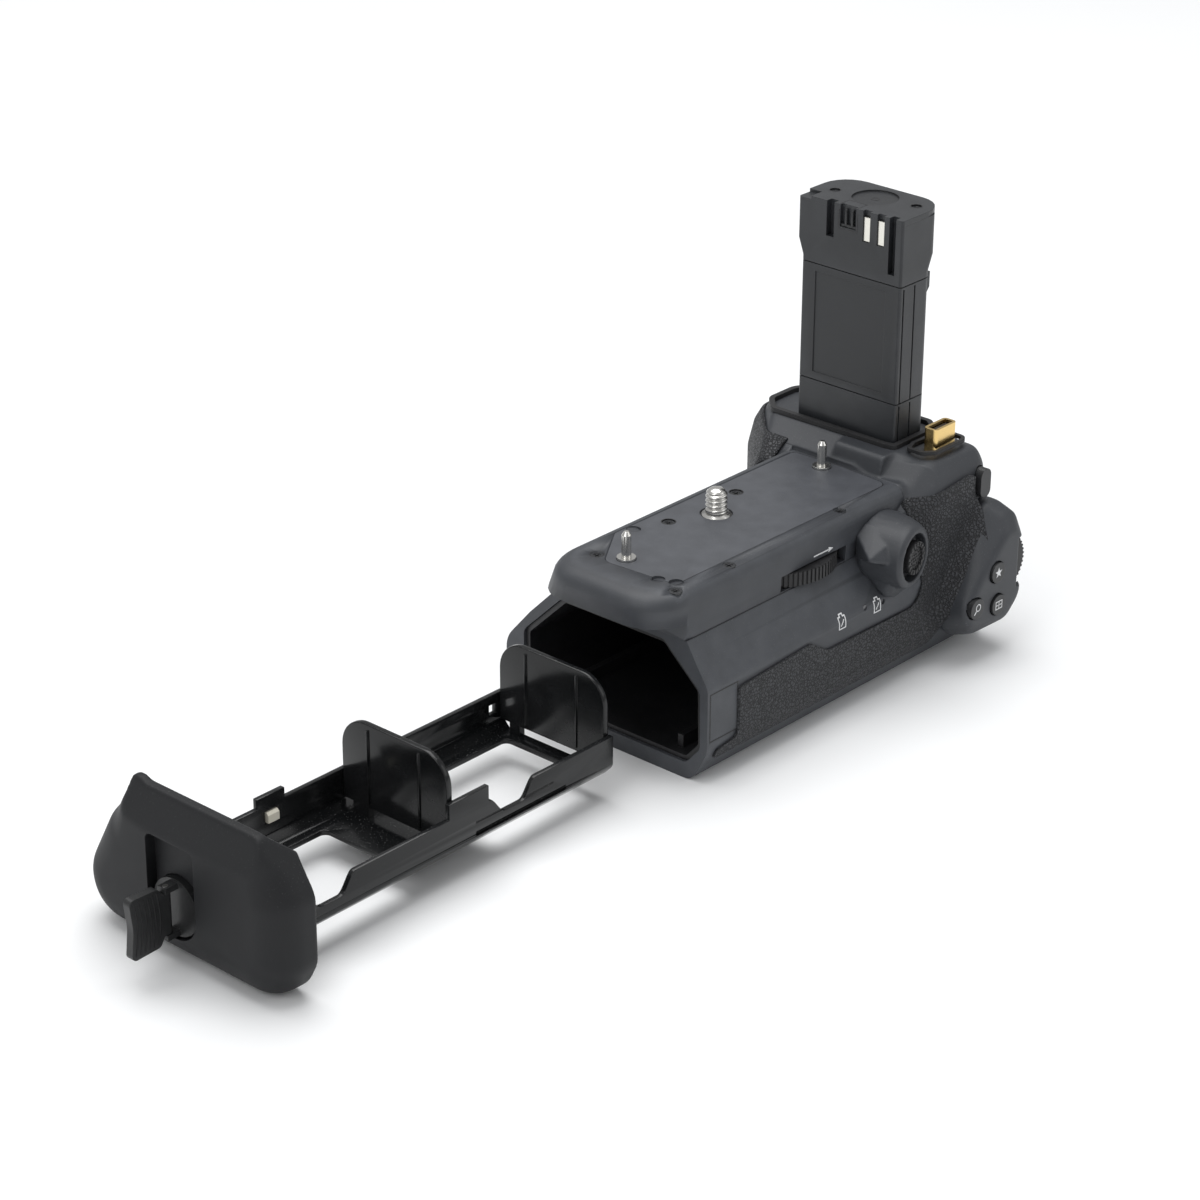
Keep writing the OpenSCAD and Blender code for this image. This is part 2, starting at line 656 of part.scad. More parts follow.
guard_face_r = 9;
module guard_form(d = 0) {
  joystick_place() {
    hull() {
      rod_y(guard_face_r - 0.8 + d, face_y - d, -30, joy_x, joy_z);
      rod_y(guard_face_r - 0.1 + d, face_y + 0.3 - d, -30, joy_x, joy_z);
      rod_y(guard_face_r + 0.5 + d, face_y + 1 - d, -30, joy_x, joy_z);
      rod_y(guard_face_r + 1 + d, face_y + 2.6, -30, joy_x + 0.6, joy_z);
      rod_y(guard_face_r + 1.4 + d, -36.6, -30, joy_x + 1.8, joy_z);
      rod_y(guard_face_r + 1.6 + d, -32.4, -24, joy_x + 2.8, joy_z);
    }
    hull() {
      rod_y(guard_face_r - 0.6 + d, face_y + 2.5, -30, joy_x + 0.2, joy_z);
      rod_y(guard_face_r - 0.4 + d, -38, -30, joy_x + 1.6, joy_z - 3.6);
      rod_y(guard_face_r - 0.2 + d, -35.2, -30, joy_x + 2.4, joy_z - 7);
    }
    hull() {
      rod_y(1.5 + d, -40, -24, joy_x - 6.8, joy_z + 1);
      rod_y(0.9 + d, -34.8, -24, joy_x - 12.4, joy_z + 2.2);
      rod_y(2 + d, -37.6, -24, joy_x - 5.4, joy_z + 4.6);
      rod_y(2 + d, -31.6, -24, joy_x - 3.6, joy_z + 7);
    }
  }
}
module joystick_guard() {
  color("#2b2c2e") difference() {
    guard_form();
    body_outer();
    joystick_place() rod_y(well_r, face_y - 1, well_y, joy_x, joy_z);
    joystick_room();
  }
}
led_places = [[24.6, -27.2], [32.8, -28]];
led_y = -rear_y + 0.4;
module led_holes() { for (p = led_places) rod_y(0.8, -far, led_y + 1.2, p[0], p[1]); }
module led_lenses() {
  color("#3a3c3e") for (p = led_places) rod_y(0.8, led_y + 0.1, led_y + 1.2, p[0], p[1]);
}

// Joystick on a small gimbal
module joystick_ring() {
  color("#1b1b1c") joystick_place() {
    difference() {
      rod_y(ring_r, joy_pivot_y - 1.4, joy_pivot_y + 1.4, joy_x, joy_z);
      rod_y(3.9, joy_pivot_y - 2, joy_pivot_y + 2, joy_x, joy_z);
    }
    rod_z(pivot_r, joy_z + ring_r - 0.4, joy_z + pivot_end, joy_x, joy_pivot_y);
    rod_z(pivot_r, joy_z - pivot_end, joy_z - ring_r + 0.4, joy_x, joy_pivot_y);
  }
}
module joystick_knob() {
  color("#1d1d1f") joystick_place() {
    difference() {
      rod_y(knob_r, face_y - 0.4, face_y + 2.6, joy_x, joy_z);
      rod_y(knob_r - 1.4, face_y - 1, face_y + 0.1, joy_x, joy_z);
    }
    rod_y(1.8, face_y + 2.6, joy_pivot_y + 1.6, joy_x, joy_z);
    rod_x(0.6, joy_x - 3.6, joy_x + 3.6, joy_pivot_y, joy_z);
  }
}

// Buttons and dials
module round_button(at, face) {
  rod_y(button_r, face, face + 2, at[0], at[1]);
}
button_proud = 0.7;
module star_button() { color("#1a1b1c") round_button(star_at, -bulge_y - button_proud); }
module grid_button() { color("#1a1b1c") round_button(grid_at, -bulge_y - button_proud); }
module zoom_button() { color("#1a1b1c") round_button(zoom_at, -bulge_y - button_proud); }
module oval_button() { color("#1a1b1c") oval_rod(2.45, 2.2, -rear_y - 1, oval_hole_y - button_travel - 0.2, oval_at); }
module shutter_button() {
  color("#1a1b1c") {
    rod_x(shutter_r, end_x - 2.2, end_x + 0.8, shutter_at[0], shutter_at[1]);
  }
}
module dial_form(r, y0, y1, at, ribs) {
  translate([at[0], y1, at[1]]) rotate([90, 0, 0]) linear_extrude(y1 - y0) difference() {
    circle(r = r, $fn = 96);
    for (i = [0:ribs - 1]) rotate(i * 360 / ribs) translate([r, 0]) square([0.9, 0.8], center = true);
    circle(r = 1.25);
  }
}
module rear_dial() { color("#161617") dial_form(dial_r, dial_y0, dial_y1, dial_at, 40); }
module front_dial() { color("#161617") dial_form(front_dial_r, front_dial_y0, front_dial_y1, front_dial_at, 36); }
module dial_axle() { color("#a8a8a6") rod_y(1.2, dial_y0 - 0.8, dial_y1 + 2, dial_at[0], dial_at[1]); }
module front_dial_axle() {
  color("#a8a8a6") rod_y(1.2, front_dial_y0 - 2, front_dial_y1 + 2, front_dial_at[0], front_dial_at[1]);
}

// Battery-shaped stick
stick_x0 = 61.8;
stick_y0 = -16.1;
stick_y1 = stick_y0 + stick_w;
foot_top = stick_top - battery_l;
head_base = stick_top - head_h;
body_t = 14.5;
lid_t = 1.6;
seam_h = 0.3;
neck = [
  [stick_x0, stick_y0, 0.8], [stick_x0 + body_t, stick_y0, 2.5], [stick_x0 + body_t, stick_y1 - 1.8, 4],
  [stick_x0, stick_y1 - 1.8, 0.8]
];
head_plan = [
  [stick_x0, stick_y0, 0.8], [stick_x0 + stick_t, stick_y0, 9], [stick_x0 + stick_t, stick_y1, 9],
  [stick_x0, stick_y1, 0.8]
];
module stick_block(z0, z1) {
  along_z(rounded(neck), z0, z1 - seam_h);
  along_z(rounded(inset(neck, 0.5)), z1 - seam_h, z1);
}
module side_grooves(z0, z1) {
  for (x = [stick_x0 + 1.4, stick_x0 + 6.6]) box([x, stick_y0 - 1, z0], [x + 0.6, stick_y0 + 0.5, z1]);
}
pocket_depth = 3;
module stick_pocket() { along_z(rounded(inset(neck, 0.9)), pedestal_h - pocket_depth, far); }
module stick_foot() {
  color("#1f2022") {
    difference() {
      stick_block(pedestal_h, foot_top);
      side_grooves(pedestal_h, foot_top - 1);
    }
    along_z(rounded(inset(neck, 1)), pedestal_h - pocket_depth, pedestal_h);
  }
}
module stick_middle() {
  color("#1c1d1f") difference() {
    stick_block(foot_top, head_base);
    side_grooves(foot_top, head_base - 1);
    box([stick_x0 - 1, stick_y0 + 5.5, foot_top + 2.4], [stick_x0 + 0.25, stick_y1 - 7, head_base - 2.4]);
  }
}
contact_slots = [-9.4, -4.2];
module stick_head() {
  color("#1e1f21") difference() {
    union() {
      along_z(rounded(neck), head_base, head_base + 4.5);
      hull() {
        along_z(rounded(neck), head_base + 1.5, head_base + 2);
        along_z(rounded([[stick_x0, stick_y0, 0.8], [stick_x0 + 17, stick_y0, 3], [stick_x0 + 17, stick_y1, 3],
          [stick_x0, stick_y1, 0.8]]), head_base + 6.6, stick_top - lid_t);
      }
    }
    for (y = contact_slots) box([stick_x0 - 1, y, stick_top - 9.4], [stick_x0 + 1.4, y + 2.6, far]);
    box([stick_x0 - 1, -13.6, stick_top - 17.2], [stick_x0 + 2.2, -11.2, far]);
    box([stick_x0 - 1, 9, stick_top - 10.8], [stick_x0 + 2.2, 11.8, far]);
    box([stick_x0 - 1, 1, stick_top - 6.8], [stick_x0 + 1.2, 6.8, far]);
  }
}
module stick_contacts() {
  color("#c9c3b4") for (y = contact_slots)
    box([stick_x0 + 0.4, y + 0.1, stick_top - 9.3], [stick_x0 + 1.4, y + 2.5, stick_top - 2]);
}
lid_screws = [[stick_x0 + 9, 16], [stick_x0 + 13.5, -10.5]];
module stick_lid() {
  color("#222325") difference() {
    union() {
      along_z(rounded(head_plan), stick_top - lid_t, stick_top);
      intersection() {
        along_z(rounded(head_plan), stick_top - 6.2, stick_top - lid_t);
        box([stick_x0 + 17, -far, -far], [far, far, far]);
      }
    }
    for (y = contact_slots) box([stick_x0 - 1, y, 0], [stick_x0 + 1.2, y + 2.6, far]);
    box([stick_x0 - 1, -13.6, 0], [stick_x0 + 2.2, -11.2, far]);
    box([stick_x0 - 1, 9, 0], [stick_x0 + 2.2, 11.8, far]);
    box([stick_x0 - 1, 1, 0], [stick_x0 + 1.2, 6.8, far]);
    box([stick_x0 - 1, stick_y1 - 4.6, stick_top - 1], [stick_x0 + 5, far, far]);
    rod_z(7, stick_top - 0.5, far, stick_x0 + 11.5, 3);
    for (p = lid_screws) rod_z(1.7, stick_top - 0.9, far, p[0], p[1]);
  }
}
module stick_rail() {
  color("#202123") along_y([
    [stick_x0 + body_t, 37.5], [stick_x0 + body_t + 1.6, 39], [stick_x0 + body_t + 1.6, 48],
    [stick_x0 + body_t + 3.6, 50.5], [stick_x0 + body_t + 3.6, head_base - 0.4], [stick_x0 + body_t, head_base - 0.4]
  ], stick_y0 + 3, stick_y0 + 27);
}

// Gaskets and connector on the pedestal
gasket_h = 1.4;
gasket_outer = [
  [58.6, -14.6, 2], [59.5, -18.4, 2], [79.5, -18.4, 3], [83, -14, 3], [83, 28, 6], [76, 33.6, 6], [64, 33.6, 5],
  [58.2, 28, 3]
];
module stick_gasket() {
  color("#151516") {
    difference() {
      along_z(rounded(gasket_outer), pedestal_h, pedestal_h + gasket_h);
      along_z(rounded(inset(gasket_outer, 1.7)), pedestal_h - 1, far);
    }
  }
}
plug_x0 = 67;
plug_x1 = 77.4;
plug_y0 = -27.4;
plug_y1 = -22.8;
plug_h = 6.4;
connector_outer = [
  [61.5, -21, 1.4], [61.5, -26.6, 2.4], [65, -29.6, 2], [80.4, -29.9, 3], [80.4, -20, 2.4], [66, -19.4, 2]
];
module connector_pocket() {
  box([plug_x0, plug_y0, pedestal_h - 4], [plug_x1, plug_y1, far]);
}
module connector_gasket() {
  color("#131314") difference() {
    along_z(rounded(connector_outer), pedestal_h, pedestal_h + 1.1);
    along_z(rounded(inset(connector_outer, 1.2)), pedestal_h - 1, far);
  }
}
module connector_shell() {
  color("#c9a24a") difference() {
    along_z(rounded([[plug_x0, plug_y0, 1.2], [plug_x1, plug_y0, 1.2], [plug_x1, plug_y1, 1.2],
      [plug_x0, plug_y1, 1.2]]), pedestal_h - 4, pedestal_h + plug_h);
    box([plug_x0 + 0.9, plug_y0 + 0.9, pedestal_h - 3], [plug_x1 - 0.9, plug_y1 - 0.9, far]);
  }
}
module connector_core() {
  color("#161617") box([plug_x0 + 1.3, plug_y0 + 1.3, pedestal_h - 3],
    [plug_x1 - 1.3, plug_y1 - 1.3, pedestal_h + plug_h - 1]);
}

// Tray, drawn at its pulled-out place
tray_x0 = -rim_x - 0.4;
tray_z = chamber_z + 0.4;
divider_t = 2;
middle_x = tray_x0 + bay_l + 1.5;
end_div_x = middle_x + divider_t + bay_l - 1.5;
tray_x1 = end_div_x + divider_t;
wall_top = tray_z + tray_wall_h;
tray_outer = [
  [tray_y0, wall_top, 0], [tray_y0, tray_z + 3.6, 3], [tray_y0 + 3.5, tray_z, 3], [tray_y1 - 3.5, tray_z, 3],
  [tray_y1, tray_z + 3.6, 3], [tray_y1, wall_top, 0]
];
tray_inner = [
  [tray_y0 + tray_wall, far, 0], [tray_y0 + tray_wall, tray_z + 4.2, 2], [tray_y0 + 4, tray_z + tray_wall, 2],
  [tray_y1 - 4, tray_z + tray_wall, 2], [tray_y1 - tray_wall, tray_z + 4.2, 2], [tray_y1 - tray_wall, far, 0]
];
window_l = 36;
window_one_x = middle_x - 12 - window_l;
window_two_x = end_div_x - 3 - window_l;
latch_one_x = middle_x - 26;
latch_two_x = middle_x + divider_t + 6;
latch_w = 4;
latch_z0 = wall_top - 5;
module finger_dip(x0, x1) {
  along_y(rounded([
    [x0, far, 0], [x0, wall_top, 0], [x0 + 8, wall_top - 5.5, 4], [x1 - 3.6, wall_top - 5.5, 3], [x1, wall_top, 0],
    [x1, far, 0]
  ]), tray_y0 - 1, tray_y0 + tray_wall + 1);
}
module pulled_out() { translate([-tray_out, 0, 0]) children(); }
module tray_frame() {
  color("#0d0d0e") pulled_out() difference() {
    union() {
      along_x(rounded(tray_outer), tray_x0, tray_x1);
      box([middle_x - 1, tray_y0, wall_top - 1], [middle_x + 14, tray_y0 + tray_wall, wall_top + 4.6]);
      box([latch_one_x - 5, tray_y1 - tray_wall, wall_top - 1], [latch_one_x + 5, tray_y1, wall_top + 3]);
    }
    along_x(rounded(tray_inner), tray_x0 - 1, tray_x1 + 1);
    for (x = [window_one_x, window_two_x])
      along_z(rounded([[x, tray_y0 + 7, 2], [x + window_l, tray_y0 + 7, 2], [x + window_l, tray_y1 - 7, 2],
        [x, tray_y1 - 7, 2]]), tray_z - 1, tray_z + 4);
    for (x = [[tray_x0 + 6.6, tray_x0 + 27], [middle_x + 14.2, middle_x + 32.3]]) finger_dip(x[0], x[1]);
    for (z = [wall_top - 5.6, wall_top - 9]) box([middle_x - 2, tray_y0 - 1, z], [tray_x1 - 8, tray_y0 + 0.4, z + 0.8]);
    for (x = [latch_one_x, latch_two_x])
      box([x - latch_w / 2 - gap, tray_y1 - 4, latch_z0 - gap], [x + latch_w / 2 + gap, tray_y1 + 1, latch_z0 + 3 + gap]);
    box([tray_x1 - 6, tray_y1 - 3, wall_top - 6], [tray_x1 - 3.4, tray_y1 + 1, wall_top - 3]);
  }
}
divider = [
  [tray_y0 + tray_wall + 0.1, tray_z + 4.6, 0.5], [tray_y0 + tray_wall + 0.1, tray_z + divider_h, 9],
  [tray_y1 - tray_wall - 0.1, tray_z + divider_h, 9], [tray_y1 - tray_wall - 0.1, tray_z + 4.6, 0.5]
];
module divider_plate(x, foot_gap) {
  along_x(rounded(divider), x, x + divider_t);
  for (s = [-1, 1]) {
    y = tray_mid_y + s * 9.6;
    box([x - 0.7, y - 0.5, tray_z + 6], [x, y + 0.5, tray_z + divider_h - 1.2]);
  }
  for (s = [-1, 1]) {
    a = tray_mid_y + s * foot_gap;
    b = s > 0 ? tray_y1 - tray_wall - 4 : tray_y0 + tray_wall + 4;
    box([x, min(a, b), tray_z + tray_wall], [x + divider_t, max(a, b), tray_z + 5]);
  }
}
module middle_divider() { color("#0e0e0f") pulled_out() divider_plate(middle_x, 10); }
module end_divider() {
  color("#0e0e0f") pulled_out() {
    divider_plate(end_div_x, 12);
    for (y = [tray_y0 + 3, tray_y1 - 7]) box([end_div_x + divider_t, y, tray_z + 7], [end_div_x + divider_t + 0.6, y + 4, tray_z + 11]);
  }
}
module tray_contacts() {
  color("#c8c2b0") pulled_out() {
    for (x = [middle_x, end_div_x]) for (y = [-8, -2.5, 3])
      box([x + divider_t, y, tray_z + 14], [x + divider_t + 0.35, y + 2.4, tray_z + 21]);
  }
}

// End cap, its liner and its key
cap_x1 = tray_x0;
cap_x0 = cap_x1 - cap_d;
cap_top = nose_low - 0.7;
function cap_section(horn) = [
  [-rear_y + 5.4, base_z, 5], [front_y - 4, base_z, 5], [front_y, base_z + 9.5, 8],
  [front_y, base_z + 21.5, 9], [front_y - 9.5, seam_z - 10.1, 8], [21, cap_top - 4, 4],
  each (horn ? [[19.6, cap_top + 0.4, 0.9], [16.2, cap_top + 0.4, 0.9], [15, cap_top - 0.6, 0.6]] : [[18.6, cap_top - 0.6, 2.6]]),
  [top_rear_y + 1, cap_top - 0.6, 2.6], [top_rear_y - 0.4, seam_z, 4], [top_rear_y - 3, seam_z - 5, 6],
  [-rear_y, seam_z - 12.6, 4], [-rear_y, base_z + 10.5, 7]
];
key_y = 2.4;
key_z = -41;
recess_d = 3.4;
recess_w = 17.8;
recess_top = key_z + 19;
hub_face_x = cap_x0 + 1.4;
// From the side: the face leans back at the top, and behind its lip the top slopes down
cap_lean = 4.4;
cap_lip = 2.2;
cap_slope_low = cap_top - 7.4;
module cap_side(d) {
  lip_x = cap_x0 + cap_lean + cap_lip;
  along_y(d > 0 ? [
    [cap_x0 + d, -far], [cap_x0 + d, cap_top - 12.4], [cap_x0 + 5.2, cap_top - 4.4], [cap_x1 + 2, cap_slope_low - 3.2],
    [cap_x1 + 2, -far]
  ] : [
    [cap_x0 - 1, -far], [cap_x0 - 1, cap_top - 12], [cap_x0, cap_top - 12], [cap_x0 + cap_lean, cap_top + 1],
    [lip_x, cap_top + 1], [lip_x, cap_top - 1.2], [cap_x1, cap_slope_low], [cap_x1 + 2, cap_slope_low],
    [cap_x1 + 2, -far]
  ], -far, far);
}
module cap_form(d = 0) {
  intersection() {
    cap_side(d);
    along_x(rounded(d > 0 ? inset(cap_section(false), d) : cap_section(true)), cap_x0 - 1, cap_x1);
    hull() {
      for (a = [0:15:90])
        along_x(rounded(cap_hull(d - 1 + 8 * (1 - cos(a)))), cap_x0 + d + 9 * (1 - sin(a)), cap_x1 + (a < 1 ? 1 : 0));
    }
  }
}
function cap_hull(d) = inset([
  [-rear_y + 5.4, base_z, 9], [front_y - 4, base_z, 9], [front_y, base_z + 12, 9], [front_y, base_z + 24, 9],
  [26, cap_top + 6, 9], [top_rear_y - 3, cap_top + 6, 9], [-rear_y, seam_z - 9, 9], [-rear_y, base_z + 12, 9]
], d);
module recess(d) {
  along_x(rounded([
    [key_y - recess_w / 2 - d, recess_top + d, 2], [key_y - recess_w / 2 - d, key_z, 0],
    [key_y + recess_w / 2 + d, key_z, 0], [key_y + recess_w / 2 + d, recess_top + d, 2]
  ]), cap_x0 - 1, cap_x0 + recess_d + d);
  rod_x(recess_w / 2 + d, cap_x0 - 1, cap_x0 + recess_d + d, key_y, key_z);
}
module cap_shell() {
  color("#313234") pulled_out() difference() {
    union() {
      difference() {
        cap_form();
        cap_form(cap_wall);
        intersection() {
          along_x(rounded(inset(cap_section(false), cap_wall)), cap_x1 - 2, cap_x1 + 1);
          box([-far, -far, -far], [far, far, cap_slope_low - 2.2]);
        }
      }
      intersection() {
        recess(cap_wall);
        cap_form();
      }
    }
    recess(0);
    rod_x(key_r + bore_play, cap_x0, cap_x1, key_y, key_z);
  }
}
liner_t = 1.5;
module cap_liner() {
  color("#101011") pulled_out() difference() {
    intersection() {
      along_x(rounded(inset(cap_section(false), cap_wall + 0.1)), cap_x1 - liner_t, cap_x1);
      box([-far, -far, -far], [far, far, cap_slope_low - 2.3]);
    }
    rod_x(key_r + 3, cap_x1 - 5, cap_x1 - liner_t + 0.7, key_y, key_z);
  }
}
hinge_x = cap_x0 - 1.6;
flange_x0 = cap_x0 + recess_d + cap_wall + 0.2;
ear_z = [6, 7.6];
pin_r = 0.8;
paddle_t = 2.4;
module key_hub() {
  color("#121213") pulled_out() difference() {
    union() {
      rod_x(key_r, hub_face_x, flange_x0 + 1.6, key_y, key_z);
      rod_x(key_r + 1.4, flange_x0, flange_x0 + 1.6, key_y, key_z);
      for (s = [-1, 1]) {
        z0 = key_z + (s > 0 ? ear_z[0] : -ear_z[1]);
        box([hinge_x - 1.3, key_y - 1.5, z0], [hub_face_x + 1, key_y + 1.5, z0 + ear_z[1] - ear_z[0]]);
      }
    }
    rod_z(pin_r, key_z - 20, key_z + 20, hinge_x, key_y);
  }
}
module key_pin() {
  color("#8e8e8c") pulled_out() rod_z(pin_r, key_z - ear_z[1], key_z + ear_z[1], hinge_x, key_y);
}
module key_paddle() {
  color("#161617") pulled_out() difference() {
    union() {
      rod_z(paddle_t / 2, key_z - ear_z[0] + 0.1, key_z + ear_z[0] - 0.1, hinge_x, key_y);
      box([hinge_x - 3, key_y - paddle_t / 2, key_z - ear_z[0] + 0.1], [hinge_x, key_y + paddle_t / 2, key_z + ear_z[0] - 0.1]);
      along_y(rounded([
        [hinge_x - 2, key_z - ear_z[0] + 0.1, 0], [hinge_x - 2, key_z + ear_z[0] - 0.1, 0],
        [hinge_x - 3.4, key_z + 8.4, 1.5], [hinge_x - paddle_l, key_z + 8.8, 1.5],
        [hinge_x - paddle_l + 1, key_z, 12], [hinge_x - paddle_l, key_z - 8.8, 1.5],
        [hinge_x - 3.4, key_z - 8.4, 1.5]
      ]), key_y - paddle_t / 2, key_y + paddle_t / 2);
    }
    rod_z(pin_r + bore_play, key_z - 20, key_z + 20, hinge_x, key_y);
  }
}
module latch(x) {
  pulled_out() translate([x, 0, latch_z0]) difference() {
    box([-latch_w / 2, tray_y1 - tray_wall - 0.9, 0], [latch_w / 2, tray_y1 + 0.8, 3]);
    translate([0, tray_y1 - tray_wall - 0.9, 3]) rotate([45, 0, 0]) cube([latch_w + 1, 1, 1], center = true);
  }
}
module latch_one() { color("#d9d4bf") latch(latch_one_x); }
module latch_two() { color("#d9d4bf") latch(latch_two_x); }

top_cover();
mating_plate();
rear_shell();
front_shell();
base_cover();
chamber();
guide_rails();
contact_block();
contact_pins();
circuit_board();
rear_rubber();
front_rubber();
rear_door();
front_door();
control_housing();
joystick_guard();
led_lenses();
locating_pins();
plate_screws();
base_screws();
tripod_bush();
screw_bearing();
lock_axle();
stick_foot();
stick_middle();
stick_head();
stick_lid();
stick_rail();
stick_contacts();
stick_gasket();
connector_gasket();
connector_shell();
connector_core();
dial_axle();
front_dial_axle();
lock_wheel();
tripod_screw();
joystick_ring();
joystick_knob();
star_button();
grid_button();
zoom_button();
oval_button();
shutter_button();
rear_dial();
front_dial();
tray_frame();
middle_divider();
end_divider();
tray_contacts();
cap_shell();
cap_liner();
key_hub();
key_pin();
key_paddle();
latch_one();
latch_two();
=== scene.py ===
# %% [markdown]
# # A vertical battery grip, dressed for the camera
# The solids of the grip come from a CAD model that is already packed. Here they get the
# surfaces of the real thing: grained plastic, leathery rubber, glossy tray, turned steel.
# As in the CAD, X runs along the grip, Y to the front of the camera, Z up. Lengths in the
# helpers are millimetres, and one factor turns them into metres.

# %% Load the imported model
import json
import math

import bmesh
import bpy
from mathutils import Matrix, Vector
from mathutils.bvhtree import BVHTree


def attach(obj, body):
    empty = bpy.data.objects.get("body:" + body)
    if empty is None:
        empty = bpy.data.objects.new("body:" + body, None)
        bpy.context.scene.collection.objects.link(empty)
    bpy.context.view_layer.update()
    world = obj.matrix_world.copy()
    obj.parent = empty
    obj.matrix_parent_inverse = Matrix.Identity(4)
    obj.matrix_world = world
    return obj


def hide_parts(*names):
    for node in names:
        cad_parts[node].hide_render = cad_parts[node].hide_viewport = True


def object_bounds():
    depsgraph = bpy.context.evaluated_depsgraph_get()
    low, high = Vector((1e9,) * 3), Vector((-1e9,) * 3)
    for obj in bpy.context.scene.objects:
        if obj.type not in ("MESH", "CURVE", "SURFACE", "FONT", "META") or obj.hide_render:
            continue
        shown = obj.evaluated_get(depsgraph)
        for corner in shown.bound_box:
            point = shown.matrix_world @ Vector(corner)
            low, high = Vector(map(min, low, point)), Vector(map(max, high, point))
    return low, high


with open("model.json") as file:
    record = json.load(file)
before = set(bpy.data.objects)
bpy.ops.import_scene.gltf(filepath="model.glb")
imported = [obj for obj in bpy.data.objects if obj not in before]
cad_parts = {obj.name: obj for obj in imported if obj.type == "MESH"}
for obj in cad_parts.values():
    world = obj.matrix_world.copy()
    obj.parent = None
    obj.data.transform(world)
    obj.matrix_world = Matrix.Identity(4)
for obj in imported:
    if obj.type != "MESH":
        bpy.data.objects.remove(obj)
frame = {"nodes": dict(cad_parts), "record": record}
cad_box = [list(corner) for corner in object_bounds()]
nodes = frame["nodes"]
MM = 0.001
print("CAD box, mm:", [[round(v / MM, 1) for v in corner] for corner in cad_box])

# %% [markdown]
# ## Camera and studio
# The photograph looks down at the grip from its rear left with a long lens, so the edges stay
# nearly parallel. The camera's right, up and backward directions are the columns of its turn.
# The studio is one pale floor and a pale world.

# %% Camera
CAMERA_PLACE = Vector((-691.925, -577.468, 405.239)) * MM
CAMERA_RIGHT = Vector((0.669716, -0.742611, 0.003013))
CAMERA_UP = Vector((0.319974, 0.292222, 0.901234))
CAMERA_BACK = Vector((-0.670147, -0.602607, 0.433322))

eye = bpy.data.cameras.new("eye")
eye.sensor_width = 36.0
eye.lens = 103.28
eye.clip_start = 0.05
eye.clip_end = 20.0
eye_object = bpy.data.objects.new("eye", eye)
bpy.context.scene.collection.objects.link(eye_object)
turn = Matrix((CAMERA_RIGHT, CAMERA_UP, CAMERA_BACK)).transposed().to_4x4()
eye_object.matrix_world = Matrix.Translation(CAMERA_PLACE) @ turn
bpy.context.scene.camera = eye_object
print("camera with a", round(eye.lens), "mm lens,", round(CAMERA_PLACE.length, 2), "m away")

# %% Floor and light
scene = bpy.context.scene
scene.view_settings.view_transform = "Standard"
low_z = cad_box[0][2]
FLOOR_HALF = 3.0


def soft_lamp(name, place, size, watts):
    """One square area lamp that looks at the origin."""
    data = bpy.data.lights.new(name, "AREA")
    data.shape = "SQUARE"
    data.size = size
    data.energy = watts
    lamp = bpy.data.objects.new(name, data)
    scene.collection.objects.link(lamp)
    lamp.location = place
    lamp.rotation_euler = (-Vector(place)).to_track_quat("-Z", "Y").to_euler()


floor_mesh = bpy.data.meshes.new("floor")
floor_corners = [(x * FLOOR_HALF, y * FLOOR_HALF, low_z)
                 for x, y in ((-1, -1), (1, -1), (1, 1), (-1, 1))]
floor_mesh.from_pydata(floor_corners, [], [(0, 1, 2, 3)])
floor = bpy.data.objects.new("floor", floor_mesh)
scene.collection.objects.link(floor)
soft_lamp("overhead", (0.1, 0.3, 1.5), 1.5, 24.0)
soft_lamp("window", (-1.3, -0.1, 1.0), 0.8, 5.0)
soft_lamp("fill", (0.7, -1.3, 0.8), 1.0, 3.0)
world = bpy.data.worlds.new("studio")
world.use_nodes = True
sky = world.node_tree.nodes["Background"]
sky.inputs["Color"].default_value = (0.97, 0.975, 0.98, 1)
sky.inputs["Strength"].default_value = 0.45
scene.world = world
print("floor at", round(low_z / MM, 1), "mm, three soft lamps")

# %% [markdown]
# ## Surface effects as node groups
# Moulded plastic carries a fine grain, rubber a pebbled leather grain, and both pick up dust
# and wear. Each effect is a group with named inputs, so every material sets its own strength.


# %% Helpers for node trees
def new_group(name, inputs, outputs, kind="ShaderNodeTree"):
    """A node group; sockets are (label, kind, value). Returns its tree, inlet and outlet."""
    tree = bpy.data.node_groups.new(name, kind)
    kinds = {"f": "Float", "v": "Vector", "g": "Geometry", "m": "Material"}
    for way, sockets in (("INPUT", inputs), ("OUTPUT", outputs)):
        for label, letter, *value in sockets:
            socket = tree.interface.new_socket(label, in_out=way, socket_type="NodeSocket" + kinds[letter])
            if value:
                socket.default_value = value[0]
    return tree, tree.nodes.new("NodeGroupInput"), tree.nodes.new("NodeGroupOutput")


def add(tree, kind, links=None, **values):
    """One node, with properties and input values by name, and links into its inputs."""
    node = tree.nodes.new(kind)
    for key, value in values.items():
        if hasattr(node, key):
            setattr(node, key, value)
        else:
            node.inputs[key.replace("_", " ")].default_value = value
    for key, source in (links or {}).items():
        tree.links.new(source, node.inputs[key])
    return node


def feed(tree, socket, value):
    """A number or a colour becomes the input's value, another socket a link into it."""
    if isinstance(value, (int, float, tuple)):
        socket.default_value = value
    else:
        tree.links.new(value, socket)


def math_node(tree, operation, a, b, clamp=False):
    node = add(tree, "ShaderNodeMath", operation=operation, use_clamp=clamp)
    feed(tree, node.inputs[0], a)
    feed(tree, node.inputs[1], b)
    return node.outputs[0]


def mix_colour(tree, factor, a, b):
    node = add(tree, "ShaderNodeMix", data_type="RGBA")
    for index, value in ((0, factor), (6, a), (7, b)):
        feed(tree, node.inputs[index], value)
    return node.outputs[2]


